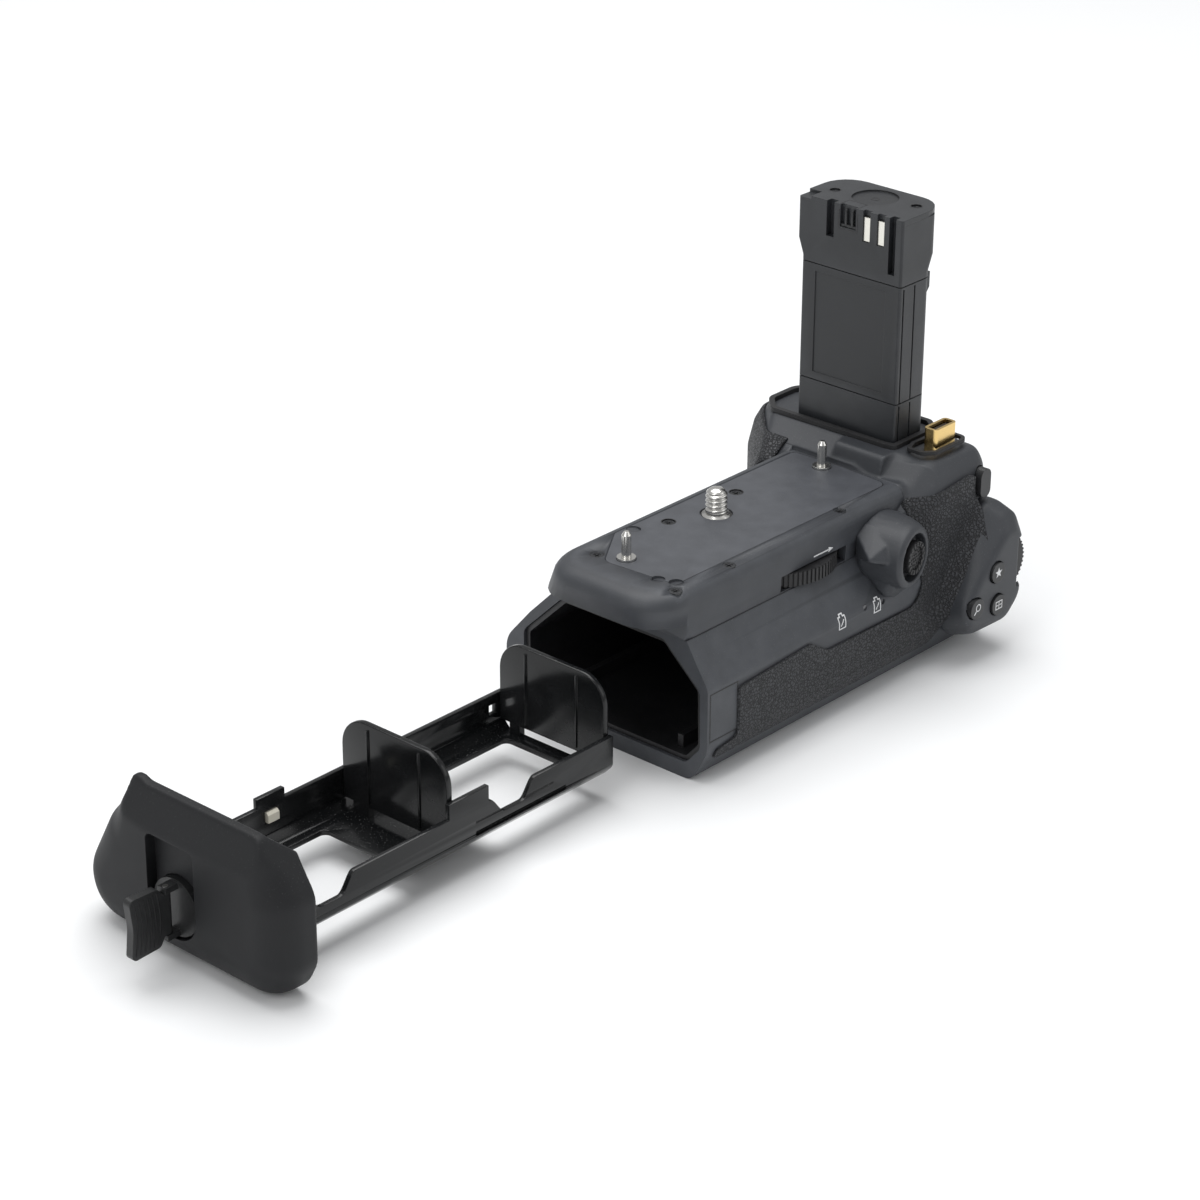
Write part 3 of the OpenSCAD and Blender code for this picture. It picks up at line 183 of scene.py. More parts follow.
# %% Moulded grain: fine noise in two sizes, as a height and a roughness mask
grain, g_in, g_out = new_group("moulded_grain", [("Vector", "v"), ("Scale", "f", 4000.0)],
                               [("Height", "f"), ("Mask", "f")])
fine = add(grain, "ShaderNodeTexNoise", {"Vector": g_in.outputs[0], "Scale": g_in.outputs[1]}, Detail=2.0)
broad_scale = math_node(grain, "MULTIPLY", g_in.outputs[1], 0.02)
broad = add(grain, "ShaderNodeTexNoise", {"Vector": g_in.outputs[0], "Scale": broad_scale}, Detail=3.0)
grain.links.new(fine.outputs[0], g_out.inputs[0])
grain.links.new(broad.outputs[0], g_out.inputs[1])

# %% Leather grain: pebbles between creases, from the distance to a Voronoi cell's edge
leather, l_in, l_out = new_group("leather_grain", [("Vector", "v"), ("Scale", "f", 700.0)],
                                 [("Height", "f"), ("Crease", "f")])
warp = add(leather, "ShaderNodeTexNoise", {"Vector": l_in.outputs[0], "Scale": l_in.outputs[1]}, Detail=1.0)
shift = add(leather, "ShaderNodeVectorMath", {0: warp.outputs[1]}, operation="SCALE")
shift.inputs["Scale"].default_value = 0.0009
bent = add(leather, "ShaderNodeVectorMath", {0: l_in.outputs[0], 1: shift.outputs[0]}, operation="ADD")
cells = add(leather, "ShaderNodeTexVoronoi", {"Vector": bent.outputs[0], "Scale": l_in.outputs[1]},
            feature="DISTANCE_TO_EDGE")
pebble = add(leather, "ShaderNodeMapRange", {"Value": cells.outputs["Distance"]},
             interpolation_type="SMOOTHSTEP", From_Max=0.22)
leather.links.new(pebble.outputs[0], l_out.inputs[0])
crease = math_node(leather, "SUBTRACT", 1.0, pebble.outputs[0])
leather.links.new(crease, l_out.inputs[1])

# %% Wear: bright rubbed edges and settled dust, from pointiness and the upward normal
wear, w_in, w_out = new_group("wear_and_dust",
                              [("Vector", "v"), ("Wear", "f", 0.3), ("Dust", "f", 0.1)],
                              [("Edge", "f"), ("Dust", "f")])
geometry = add(wear, "ShaderNodeNewGeometry")
ridge = add(wear, "ShaderNodeMapRange", {"Value": geometry.outputs["Pointiness"]},
            From_Min=0.51, From_Max=0.58)
patches = add(wear, "ShaderNodeTexNoise", {"Vector": w_in.outputs[0]}, Scale=160.0, Detail=4.0)
rubbed = math_node(wear, "MULTIPLY", ridge.outputs[0], patches.outputs[0])
wear.links.new(math_node(wear, "MULTIPLY", rubbed, w_in.outputs[1], True), w_out.inputs[0])
up = add(wear, "ShaderNodeSeparateXYZ", {0: geometry.outputs["Normal"]})
specks = add(wear, "ShaderNodeTexNoise", {"Vector": w_in.outputs[0]}, Scale=2600.0, Detail=1.0)
speck = add(wear, "ShaderNodeMapRange", {"Value": specks.outputs[0]}, From_Min=0.68, From_Max=0.74)
lying = math_node(wear, "MULTIPLY", speck.outputs[0], math_node(wear, "MAXIMUM", up.outputs[2], 0.0))
wear.links.new(math_node(wear, "MULTIPLY", lying, w_in.outputs[2], True), w_out.inputs[1])
print("surface groups:", grain.name, leather.name, wear.name)


# %% [markdown]
# ## Materials
# All plastics share one recipe: a base colour, a slightly lighter tone where edges are rubbed,
# a speck of dust, and grain that drives both roughness and bump. Metals get turning marks.
# Colours are linear values, and the black plastics lie between 0.005 and 0.04.

# %% Plastic recipe
PLASTIC_BEVEL, METAL_BEVEL = 0.00025, 0.00012
finish = {}


def start_material(name):
    """A new material, kept in finish by its name. Returns its tree, shader and place."""
    finish[name] = bpy.data.materials.new(name)
    finish[name].use_nodes = True
    tree = finish[name].node_tree
    place = tree.nodes.new("ShaderNodeTexCoord").outputs["Object"]
    return tree, tree.nodes["Principled BSDF"], place


def place_group(tree, group, place, **values):
    return add(tree, "ShaderNodeGroup", {"Vector": place}, node_tree=group, **values)


def toned(colour, factor=1.0):
    """The colour times a factor, with an alpha of one."""
    return (*(c * factor for c in colour), 1.0)


def dusted(tree, age, colour, level):
    return mix_colour(tree, age.outputs["Dust"], colour, (level, level, level, 1))


def dress(tree, shader, colour, skin, mask, roughness, spread, bevel, bump, depth):
    """The end of every recipe: colour, wandering roughness, softened corners and relief."""
    tree.links.new(colour, shader.inputs["Base Color"])
    wander = math_node(tree, "MULTIPLY", skin.outputs[mask], spread)
    tree.links.new(math_node(tree, "ADD", wander, roughness), shader.inputs["Roughness"])
    corner = add(tree, "ShaderNodeBevel", samples=4, Radius=bevel)
    relief = add(tree, "ShaderNodeBump", {"Height": skin.outputs["Height"], "Normal": corner.outputs[0]},
                 Strength=bump, Distance=depth)
    tree.links.new(relief.outputs[0], shader.inputs["Normal"])


def plastic(name, colour, roughness, scale, bump, wear_amount=0.5, dust=0.12, spread=0.1, gloss=0.5):
    """Grained plastic; spread is how much its roughness wanders, gloss its reflection."""
    tree, shader, place = start_material(name)
    shader.inputs["Specular IOR Level"].default_value = gloss
    skin = place_group(tree, grain, place, Scale=scale)
    age = place_group(tree, wear, place, Wear=wear_amount, Dust=dust)
    light = toned(tuple(min(1.0, c * 2.6 + 0.02) for c in colour))
    tint = mix_colour(tree, skin.outputs["Mask"], toned(colour, 0.94), toned(colour, 1.06))
    rubbed_tint = mix_colour(tree, age.outputs["Edge"], tint, light)
    dress(tree, shader, dusted(tree, age, rubbed_tint, 0.4), skin, "Mask", roughness - spread / 2, spread,
          PLASTIC_BEVEL, bump, 0.0001)


def leathery(name, colour, roughness, scale, bump):
    """Pebbled rubber: the creases get painted shade in their colour, and are rougher than the pebbles."""
    tree, shader, place = start_material(name)
    skin = place_group(tree, leather, place, Scale=scale)
    age = place_group(tree, wear, place, Wear=0.2, Dust=0.25)
    # Painted shade: the creases' colour drops to 0.35 of the rubber's.
    tint = mix_colour(tree, skin.outputs["Crease"], toned(colour), toned(colour, 0.35))
    dress(tree, shader, dusted(tree, age, tint, 0.35), skin, "Crease", roughness, 0.2,
          PLASTIC_BEVEL, bump, 0.00018)


def metal(name, colour, roughness):
    """Bare or plated metal with fine machining marks."""
    tree, shader, place = start_material(name)
    shader.inputs["Metallic"].default_value = 1.0
    skin = place_group(tree, grain, place, Scale=2500.0)
    tint = mix_colour(tree, skin.outputs["Mask"], toned(colour, 0.86), toned(colour))
    dress(tree, shader, tint, skin, "Mask", roughness - 0.08, 0.16, METAL_BEVEL, 0.05, 0.00004)


# %% The finishes of this grip
plastic("casing", (0.034, 0.037, 0.043), 0.5, 5200.0, 0.35)
# Painted shade: the cap's plastic is about a third of the casing's colour, for its face that turns away from
# the light.
plastic("cap_casing", (0.011, 0.0115, 0.013), 0.56, 5200.0, 0.3, gloss=0.3)
plastic("plate", (0.042, 0.045, 0.052), 0.46, 6500.0, 0.2)
plastic("inner_black", (0.007, 0.007, 0.008), 0.42, 3000.0, 0.1)
plastic("tray_plastic", (0.005, 0.0055, 0.006), 0.17, 1500.0, 0.03, spread=0.06, dust=0.2, gloss=0.36)
leathery("rubber", (0.033, 0.035, 0.04), 0.5, 1000.0, 1.5)
plastic("gasket", (0.006, 0.006, 0.007), 0.6, 2600.0, 0.15)
plastic("stick_plastic", (0.015, 0.0165, 0.019), 0.4, 5200.0, 0.25)
plastic("control", (0.011, 0.0115, 0.0125), 0.34, 4200.0, 0.1, gloss=0.42)
plastic("knurled", (0.009, 0.009, 0.01), 0.46, 3600.0, 0.2, gloss=0.4)
plastic("cap_white", (0.72, 0.68, 0.54), 0.45, 2600.0, 0.05, dust=0.05)
metal("steel", (0.66, 0.65, 0.63), 0.32)
metal("bright_steel", (0.78, 0.77, 0.74), 0.22)
plastic("black_screw", (0.013, 0.014, 0.016), 0.34, 2600.0, 0.08)
metal("bronze", (0.5, 0.4, 0.24), 0.45)
metal("gold", (0.86, 0.62, 0.26), 0.24)
metal("contact_metal", (0.85, 0.83, 0.76), 0.3)
plastic("board", (0.02, 0.1, 0.05), 0.35, 900.0, 0.05)
plastic("lamp", (0.05, 0.05, 0.055), 0.15, 900.0, 0.0)
plastic("key_black", (0.009, 0.0095, 0.01), 0.42, 3600.0, 0.12)
plastic("print_white", (0.78, 0.79, 0.8), 0.6, 5200.0, 0.05, 0.0, 0.0)
slot_of = {entry["node"]: entry["material_slot"] for entry in frame["record"]["subparts"]}
for name, thing in nodes.items():
    thing.data.materials.clear()
    thing.data.materials.append(finish[slot_of[name]])
for name in ("key_hub", "key_paddle"):
    nodes[name].data.materials[0] = finish["key_black"]
print("finishes:", len(finish), "nodes:", len(nodes))

# %% The floor's paper
floor_tree, floor_shader, floor_place = start_material("pale_paper")
paper = place_group(floor_tree, grain, floor_place, Scale=300.0)
paper_tint = mix_colour(floor_tree, paper.outputs["Mask"], (0.86, 0.87, 0.88, 1), (0.9, 0.905, 0.91, 1))
floor_tree.links.new(paper_tint, floor_shader.inputs["Base Color"])
floor_shader.inputs["Roughness"].default_value = 0.6
floor_mesh.materials.append(finish["pale_paper"])

# %% [markdown]
# ## Tools for making pieces
# A moulded casing has no hard edges, but a CAD solid made of hulls shows flat facets. Two
# tools cure this. One remeshes a node's copy in small voxels and smooths it. The other draws a
# piece afresh from rounded outlines. All work is in millimetres, the finished piece in metres.


# %% Mesh tools
def link_mesh(name, mesh):
    thing = bpy.data.objects.new(name, mesh)
    scene.collection.objects.link(thing)
    return thing


def link_work(name, work):
    """A finished bmesh as an object of its own."""
    mesh = bpy.data.meshes.new(name)
    work.to_mesh(mesh)
    work.free()
    return link_mesh(name, mesh)


def link_solid(name, points, faces):
    """An object from points and faces, with all normals turned outwards."""
    rough = bpy.data.meshes.new(name)
    rough.from_pydata(points, [], faces)
    work = bmesh.new()
    work.from_mesh(rough)
    bpy.data.meshes.remove(rough)
    bmesh.ops.recalc_face_normals(work, faces=work.faces)
    return link_work(name, work)


def bake(thing):
    """Turn an object's modifiers into plain mesh."""
    graph = bpy.context.evaluated_depsgraph_get()
    mesh = bpy.data.meshes.new_from_object(thing.evaluated_get(graph), depsgraph=graph)
    thing.modifiers.clear()
    thing.data = mesh
    return thing


def copy_of_node(name, node):
    """A CAD node's triangles in millimetres, with their shared points joined."""
    work = bmesh.new()
    work.from_mesh(nodes[node].data)
    bmesh.ops.scale(work, vec=(1 / MM,) * 3, verts=work.verts)
    bmesh.ops.remove_doubles(work, verts=work.verts, dist=0.002)
    return link_work(name, work)


def boolean(body, tool, operation="DIFFERENCE"):
    step = body.modifiers.new("shape", "BOOLEAN")
    step.operation = operation
    step.solver = "EXACT"
    step.object = tool
    bake(body)
    bpy.data.objects.remove(tool)


def box_tool(low, high):
    work = bmesh.new()
    bmesh.ops.create_cube(work, size=1.0)
    for point in work.verts:
        point.co = Vector([a + (b - a) * (c + 0.5) for a, b, c in zip(low, high, point.co)])
    return link_work("tool", work)


def soften(thing, voxel, passes, weight, most):
    """Rebuild a solid from voxels and smooth it; weight(point) from 0 to 1 says where."""
    remesh = thing.modifiers.new("voxels", "REMESH")
    remesh.mode = "VOXEL"
    remesh.voxel_size = voxel
    bake(thing)
    if weight:
        group = thing.vertex_groups.new(name="soft")
        for point in thing.data.vertices:
            group.add([point.index], weight(point.co), "REPLACE")
    smooth = thing.modifiers.new("smooth", "SMOOTH")
    smooth.factor = 0.5
    smooth.iterations = passes
    if weight:
        smooth.vertex_group = "soft"
    triangles = 2 * len(thing.data.polygons)
    if triangles > most:
        thin = thing.modifiers.new("thin", "DECIMATE")
        thin.ratio = most / triangles
    bake(thing)
    thing.vertex_groups.clear()
    thing.data.shade_smooth()


def ramp_up(value, low, high):
    """0 below low, 1 above high, smooth between."""
    t = min(1.0, max(0.0, (value - low) / (high - low)))
    return t * t * (3 - 2 * t)


def hand_over(thing, body, slot, replaced=(), angle=None):
    """Bring a finished piece to metres, give it its finish, its body and its nodes."""
    thing.data.transform(Matrix.Scale(MM, 4))
    if angle:
        thing.data.shade_smooth()
        thing.data.set_sharp_from_angle(angle=math.radians(angle))
    thing.data.materials.clear()
    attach(thing, body)
    if slot:
        thing.data.materials.append(finish[slot])
    for node in replaced:
        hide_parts(node)
    print(thing.name, len(thing.data.polygons), "faces")


# %% Outlines with rounded corners
def rounded(corners, steps=8):
    """Corner points [(u, v, radius)] turned into one closed outline."""
    outline = []
    count = len(corners)
    for index, (u, v, radius) in enumerate(corners):
        here = Vector((u, v))
        before = Vector(corners[index - 1][:2])
        after = Vector(corners[(index + 1) % count][:2])
        if radius <= 0:
            outline.append(here)
            continue
        one = (before - here).normalized()
        two = (after - here).normalized()
        half_angle = one.angle(two) / 2
        reach = radius / math.tan(half_angle)
        middle = here + (one + two).normalized() * (radius / math.sin(half_angle))
        first = here + one * reach - middle
        last = here + two * reach - middle
        start = math.atan2(first.y, first.x)
        sweep = (math.atan2(last.y, last.x) - start + 3 * math.pi) % (2 * math.pi) - math.pi
        for step in range(steps + 1):
            angle = start + sweep * step / steps
            outline.append(middle + radius * Vector((math.cos(angle), math.sin(angle))))
    return outline


def evenly(outline, count):
    """The outline again, with its points at equal distances."""
    closed = list(outline) + [outline[0]]
    lengths = [(b - a).length for a, b in zip(closed, closed[1:])]
    total = sum(lengths)
    points, index, walked = [], 0, 0.0
    for step in range(count):
        goal = total * step / count
        while walked + lengths[index] < goal:
            walked += lengths[index]
            index += 1
        part = (goal - walked) / max(lengths[index], 1e-9)
        points.append(closed[index].lerp(closed[index + 1], part))
    return points


def rectangle(u0, v0, u1, v1, radius, steps=8):
    return rounded([(u0, v0, radius), (u1, v0, radius), (u1, v1, radius), (u0, v1, radius)], steps)


def circle(u, v, radius, count=28, start=0.0, sweep=2 * math.pi):
    """Points on a circle, or on an arc with both its ends."""
    steps = count if sweep > 6.28 else count - 1
    angles = [start + sweep * i / steps for i in range(count)]
    return [(u + radius * math.cos(a), v + radius * math.sin(a)) for a in angles]


# %% Solids from outlines
def skin(name, rings):
    """Rings of equal counts joined into a skin; the ends are closed with one face each."""
    count = len(rings[0])
    points = [tuple(point) for ring in rings for point in ring]
    faces = []
    for low in range(0, (len(rings) - 1) * count, count):
        for col in range(count):
            nxt = (col + 1) % count
            faces.append((low + col, low + nxt, low + count + nxt, low + count + col))
    faces.append(tuple(range(count))[::-1])
    faces.append(tuple((len(rings) - 1) * count + i for i in range(count)))
    return link_solid(name, points, faces)


def prism(outline, axis, low, high):
    """An outline pushed along an axis: (y, z) along x, (x, z) along y, (x, y) along z."""
    def place(point, height):
        spot = list(point)
        spot.insert("xyz".index(axis), height)
        return spot
    return skin("tool", [[place(point, height) for point in outline] for height in (low, high)])


def rod(axis, radius, low, high, u, v):
    return prism(circle(u, v, radius, 64), axis, low, high)


def faces_of(things):
    """A tree of all faces of some objects in metres, for rays in millimetres."""
    points, faces = [], []
    for thing in things:
        start = len(points)
        points += [point.co / MM for point in thing.data.vertices]
        faces += [[start + i for i in face.vertices] for face in thing.data.polygons]
    return BVHTree.FromPolygons(points, faces)


# %% [markdown]
# ## Top cover
# The real cover is one moulding: a flat deck with crisp edges and a nose over the tray's cap,
# and a sculpted top of the hand grip. The CAD solid is cut at the foot of the ramp. The left
# part keeps its edges, the right part is remeshed and smoothed, least near its openings. The
# oval button's hole is cut again afterwards, so that the button clears it when pressed.

# %% Top cover in two parts
RAMP_FOOT = 50.9
deck = copy_of_node("cover_deck", "top_cover")
grip_top = copy_of_node("cover_grip_top", "top_cover")
boolean(deck, box_tool((-80, -80, -40), (RAMP_FOOT, 80, 20)), "INTERSECT")
boolean(grip_top, box_tool((RAMP_FOOT, -80, -40), (120, 80, 20)), "INTERSECT")
OVAL_BUTTON = (79.6, -5.4)
SHUTTER = (26.0, -6.0)


def grip_top_weight(point):
    weight = ramp_up(point.x, RAMP_FOOT + 0.3, RAMP_FOOT + 4.5) * ramp_up(point.z, -14.8, -13.4)
    if point.y < -25:
        away = math.hypot(point.x - OVAL_BUTTON[0], max(0.0, abs(point.z - OVAL_BUTTON[1]) - 2.2))
        weight *= ramp_up(away, 3.1, 5.5)
    if point.x > 82:
        weight *= ramp_up(math.hypot(point.y - SHUTTER[0], point.z - SHUTTER[1]), 6.2, 8.5)
    if 4.5 < point.y < 14 and point.x > 84:
        weight *= 0.1
    if point.z > 5.5:
        weight *= 0.35
    return weight


CORNER = Vector((78.0, -27.4, -3.0))
BALL, LEFT_OUTSIDE = 7.0, 0.35


def round_the_corner(thing):
    """Press the rear outer corner into a ball, less and less towards the gasket's seat."""
    for point in thing.data.vertices:
        out = Vector((max(0.0, point.co.x - CORNER.x), max(0.0, CORNER.y - point.co.y),
                      max(0.0, point.co.z - CORNER.z)))
        if out.length <= BALL or point.co.z < -12:
            continue
        share = 1 - ramp_up(point.co.y, -25, -18)
        back = out * (1 - (BALL + (out.length - BALL) * LEFT_OUTSIDE) / out.length) * share
        point.co += Vector((-back.x, back.y, -back.z))


soften(grip_top, 0.42, 40, grip_top_weight, 150000)
round_the_corner(grip_top)
boolean(grip_top, prism(rectangle(76.9, -10.3, 82.3, -0.5, 2.69, 12), "y", -60, -33.0))
hand_over(deck, "grip", "casing", ["top_cover"], 32)
hand_over(grip_top, "grip", "casing", ["top_cover"])

# %% [markdown]
# ## Control housing and joystick guard
# The housing swells out of the rear face for the thumb, and the guard is a drop-shaped ring
# round the joystick. Both are softened from their CAD solids, so they stay where the buttons
# and the joystick need them. The ledge beside the ring is cut back at its foot, to the length
# that shows from the camera.

# %% Control housing
BUTTONS = {"star": (73.8, -29.4), "grid": (74.8, -40.3), "zoom": (64.0, -38.0)}
DIAL = (81.6, -30.0)


def housing_weight(point):
    weight = 1.0
    if point.y < -43:
        for u, v in BUTTONS.values():
            weight *= ramp_up(math.hypot(point.x - u, point.z - v), 3.7, 6.0)
    if point.x > 80:
        weight *= 0.15 + 0.85 * ramp_up(abs(point.z - DIAL[1]), 8.5, 11.5)
    return weight


housing = copy_of_node("thumb_housing", "control_housing")
soften(housing, 0.3, 60, housing_weight, 90000)
hand_over(housing, "grip", "casing", ["control_housing"])

# %% Joystick guard
JOYSTICK = Vector((37.7, -33.0, -14.4))
JOYSTICK_TURN = math.radians(10)
guard = copy_of_node("stick_guard", "joystick_guard")
LEDGE_CUT = [(10, -36.4), (24.7, -36.4), (28.9, -29), (28.9, -20), (10, -20)]
boolean(guard, prism(LEDGE_CUT, "z", -24, -4))
soften(guard, 0.28, 14, None, 60000)
hand_over(guard, "grip", "casing", ["joystick_guard"])

# %% [markdown]
# ## Rubber pads
# The rear pad is one sheet of leathery rubber. It runs along the bottom of the rear face,
# passes under the joystick and rises to a hollow thumb rest. Its outline is laid over the
# casing: rays find the surface below, the heights are smoothed, and the sheet gets its
# thickness. The front pad is softened.

# %% Heights of the casing under the rear pad
PAD_STEP, PAD_RISE, PAD_BED = 0.7, 0.75, 1.2
DEEPEST_Y, SMOOTH_FROM_X, MARGIN = -28.0, 47, 4
pad_outline = rounded([
    (-33.2, -31, 2), (-1, -29.2, 4), (7, -34, 5), (48, -34.4, 6), (51.2, -28, 8), (49.6, -5.2, 2),
    (51.6, -3.6, 2), (76.4, -1.2, 3), (77, -12, 5), (70.5, -27.5, 8), (58.5, -41, 7), (58.8, -50.8, 3),
    (-41.5, -50.8, 1.6), (-42, -47.4, 1.2), (-33.2, -45.8, 2)], 6)

under_pad = faces_of([nodes[name] for name in ("top_cover", "rear_shell", "control_housing", "front_shell")])
low_x, high_x = min(p.x for p in pad_outline) - MARGIN, max(p.x for p in pad_outline) + MARGIN
low_v, high_v = min(p.y for p in pad_outline) - MARGIN, max(p.y for p in pad_outline) + MARGIN
xs = [low_x + col * PAD_STEP for col in range(int((high_x - low_x) / PAD_STEP) + 1)]
vs = [low_v + row * PAD_STEP for row in range(int((high_v - low_v) / PAD_STEP) + 1)]
cols, rows = len(xs), len(vs)
heights = []
for v in vs:
    hits = [under_pad.ray_cast(Vector((x, -90, v)), Vector((0, 1, 0)))[0] for x in xs]
    heights.append([min(hit.y, DEEPEST_Y) if hit else DEEPEST_Y for hit in hits])
for _ in range(26):
    fresh = [line[:] for line in heights]
    for row in range(1, rows - 1):
        for col in range(1, cols - 1):
            if xs[col] > SMOOTH_FROM_X:
                around = (heights[row - 1][col] + heights[row + 1][col] + heights[row][col - 1]
                          + heights[row][col + 1])
                fresh[row][col] = 0.5 * heights[row][col] + 0.125 * around
    heights = fresh
print("heights found:", rows, "x", cols)

# %% Rear pad as a sheet over those heights
sheet = [(x, height + lift, v) for lift in (-PAD_RISE, PAD_BED)
         for v, line in zip(vs, heights) for x, height in zip(xs, line)]
faces = []
layer = rows * cols
for row in range(rows - 1):
    for col in range(cols - 1):
        a = row * cols + col
        faces.append((a, a + cols, a + cols + 1, a + 1))
        faces.append((layer + a, layer + a + 1, layer + a + cols + 1, layer + a + cols))
edge = [(0, c) for c in range(cols)] + [(r, cols - 1) for r in range(1, rows)]
edge += [(rows - 1, c) for c in range(cols - 2, -1, -1)] + [(r, 0) for r in range(rows - 2, 0, -1)]
for (r0, c0), (r1, c1) in zip(edge, edge[1:] + edge[:1]):
    faces.append((r0 * cols + c0, r1 * cols + c1, layer + r1 * cols + c1, layer + r0 * cols + c0))
rear_pad = link_solid("rear_pad", sheet, faces)
boolean(rear_pad, prism(pad_outline, "y", -70, -20), "INTERSECT")
boolean(rear_pad, rod("y", 12.1, -60, -10, JOYSTICK.x - 0.4, JOYSTICK.z))
boolean(rear_pad, rod("y", 3.5, -60, -44.9, *BUTTONS["zoom"]))
hand_over(rear_pad, "grip", "rubber", ["rear_rubber"], 35)

# %% Front pad
front_pad = copy_of_node("front_pad", "front_rubber")
soften(front_pad, 0.4, 12, None, 90000)
hand_over(front_pad, "grip", "rubber", ["front_rubber"])

# %% [markdown]
# ## End cap of the tray
# The cap is a pillow: its outline repeats the body's section, and its outer face rolls over
# into the sides. Rings of the same outline, moved inwards step by step, make such a form with
# even faces. The recess and the bores are cut at the end.

# %% Outline of the cap
CAP_BACK, CAP_DEPTH = -194.1, 14.0
ROLL_SHARE, FACE_RISE = 0.965, 0.035
KEY = Vector((2.4, -41.0))
KEY_HUB, RECESS = 8.2, 8.9
cap_corners = [
    (-31, -57.5, 11), (37.5, -57.5, 13), (40.3, -42, 12), (31, -25, 10), (21, -15, 6),
    (19.6, -9.95, 1.2), (16.2, -9.95, 1.2), (14.6, -10.9, 1), (-27.4, -10.9, 3), (-28.9, -14.9, 5),
    (-31.5, -19.9, 8), (-36.4, -27.5, 8), (-36.4, -47, 9)]
cap_ring = evenly(rounded(cap_corners, 10), 320)


def inward(ring):
    """Unit normals of an anticlockwise ring, smoothed over some neighbours, pointing in."""
    count = len(ring)
    raw = []
    for index in range(count):
        along = ring[(index + 3) % count] - ring[index - 3]
        raw.append(Vector((-along.y, along.x)).normalized())
    for _ in range(10):
        raw = [(raw[i - 1] + raw[i] + raw[(i + 1) % count]).normalized() for i in range(count)]
    return raw


def roll(t, depth_share, way_in):
    """How far in and how far forward the surface is at t, from 0 at the back to 1 at the face."""
    straight = 1 - depth_share
    if t < 0.25:
        return 0.0, straight * t / 0.25
    angle = (t - 0.25) / 0.75 * math.pi / 2
    return way_in * (1 - math.cos(angle)), straight + depth_share * math.sin(angle)


normals = inward(cap_ring)
print("outline of the cap:", len(cap_ring), "points")

# %% Rings of the cap, from its back to the middle of its face
STEPS = 14
rings = []
for step in range(STEPS + 1):
    ring = []
    for point, normal in zip(cap_ring, normals):
        top_share = ramp_up(point.y, -24, -12)
        way_in, forward = roll(step / STEPS, 0.72 - 0.52 * top_share, 10.0 - 7.8 * top_share)
        spot = point + normal * way_in
        ring.append((CAP_BACK - CAP_DEPTH * ROLL_SHARE * forward, spot.x, spot.y))
    rings.append(ring)
centre = Vector((KEY.x, -36.0))
rim = [Vector(point[1:]) for point in rings[-1]]
for share in (0.93, 0.8, 0.6, 0.4, 0.2):
    rise = CAP_DEPTH * (ROLL_SHARE + FACE_RISE * (1 - share * share))
    rings.append([(CAP_BACK - rise, *(centre + (point - centre) * share)) for point in rim])
cap = skin("end_cap", rings)
CAP_SIDE = rounded([
    (-209.4, -70, 0), (-209.4, -26.5, 0), (-208.1, -22.3, 14), (-203.6, -9.0, 0), (-201.4, -9.0, 0),
    (-201.4, -11.6, 2), (-194.1, -17.8, 0), (-190, -17.8, 0), (-190, -70, 0)])
boolean(cap, prism(CAP_SIDE, "y", -60, 60), "INTERSECT")
soften(cap, 0.5, 16, lambda point: 0.08 + 0.92 * ramp_up(CAP_BACK - 0.6 - point.x, 0, 3.5), 90000)

# %% Recess and bores of the cap
arc = circle(KEY.x, KEY.y, RECESS, 25, math.pi, math.pi)
recess = rounded([(KEY.x - RECESS, -22, 2), *[(u, v, 0) for u, v in arc], (KEY.x + RECESS, -22, 2)])
boolean(cap, prism(recess, "x", -212, CAP_BACK - CAP_DEPTH + 3.4))
boolean(cap, rod("x", KEY_HUB + 0.15, -212, -190, KEY.x, KEY.y))
boolean(cap, rod("x", KEY_HUB + 2.6, CAP_BACK - CAP_DEPTH + 5.4, -190, KEY.x, KEY.y))
liner_bed = [point + normal * 2.0 for point, normal in zip(cap_ring, normals)]
bed = prism(liner_bed, "x", CAP_BACK - 1.9, CAP_BACK + 2)
boolean(bed, box_tool((-200, -60, -60), (-180, 60, -19.9)), "INTERSECT")
boolean(cap, bed)
# The cap's finish carries painted shade: it is darker than the casing's plastic.
hand_over(cap, "tray", "cap_casing", ["cap_shell"], 40)

# %% [markdown]
# ## Tray
# The tray is a thin glossy moulding: a channel with two windows in its floor, two dividers and
# a near wall with two finger dips. It is cut from a channel-shaped prism with rounded tools. All
# its edges get a small bevel, because on glossy plastic the edges catch the light.

# %% Strokes: flat lines and filled shapes on a surface
def stroke(work, path, width, place, low, high, closed=False):
    """A flat line of even width through (u, v) points; place(u, v, h) puts them in space."""
    path = [Vector(point) for point in path]
    count = len(path)
    rows = []
    for index, here in enumerate(path):
        before = path[index - 1] if closed or index else None
        after = path[(index + 1) % count] if closed or index < count - 1 else None
        ways = [(b - a).normalized() for a, b in ((before, here), (here, after)) if a and b]
        way = sum(ways, Vector((0, 0))).normalized()
        side = Vector((-way.y, way.x)) * width / 2 / max(0.5, way.dot(ways[0]))
        rows.append([work.verts.new(place(*(here + side * share), height))
                     for share, height in ((1, low), (-1, low), (-1, high), (1, high))])
    for index in range(count if closed else count - 1):
        one, two = rows[index], rows[(index + 1) % count]
        for corner in range(4):
            nxt = (corner + 1) % 4
            work.faces.new((one[corner], one[nxt], two[nxt], two[corner]))
    if not closed:
        work.faces.new(rows[0][::-1])
        work.faces.new(rows[-1])


def fill(work, outline, place, low, high):
    """A flat filled shape with a little height."""
    lower = [work.verts.new(place(*point, low)) for point in outline]
    upper = [work.verts.new(place(*point, high)) for point in outline]
    work.faces.new(lower[::-1])
    work.faces.new(upper)
    for index in range(len(outline)):
        nxt = (index + 1) % len(outline)
        work.faces.new((lower[index], lower[nxt], upper[nxt], upper[index]))


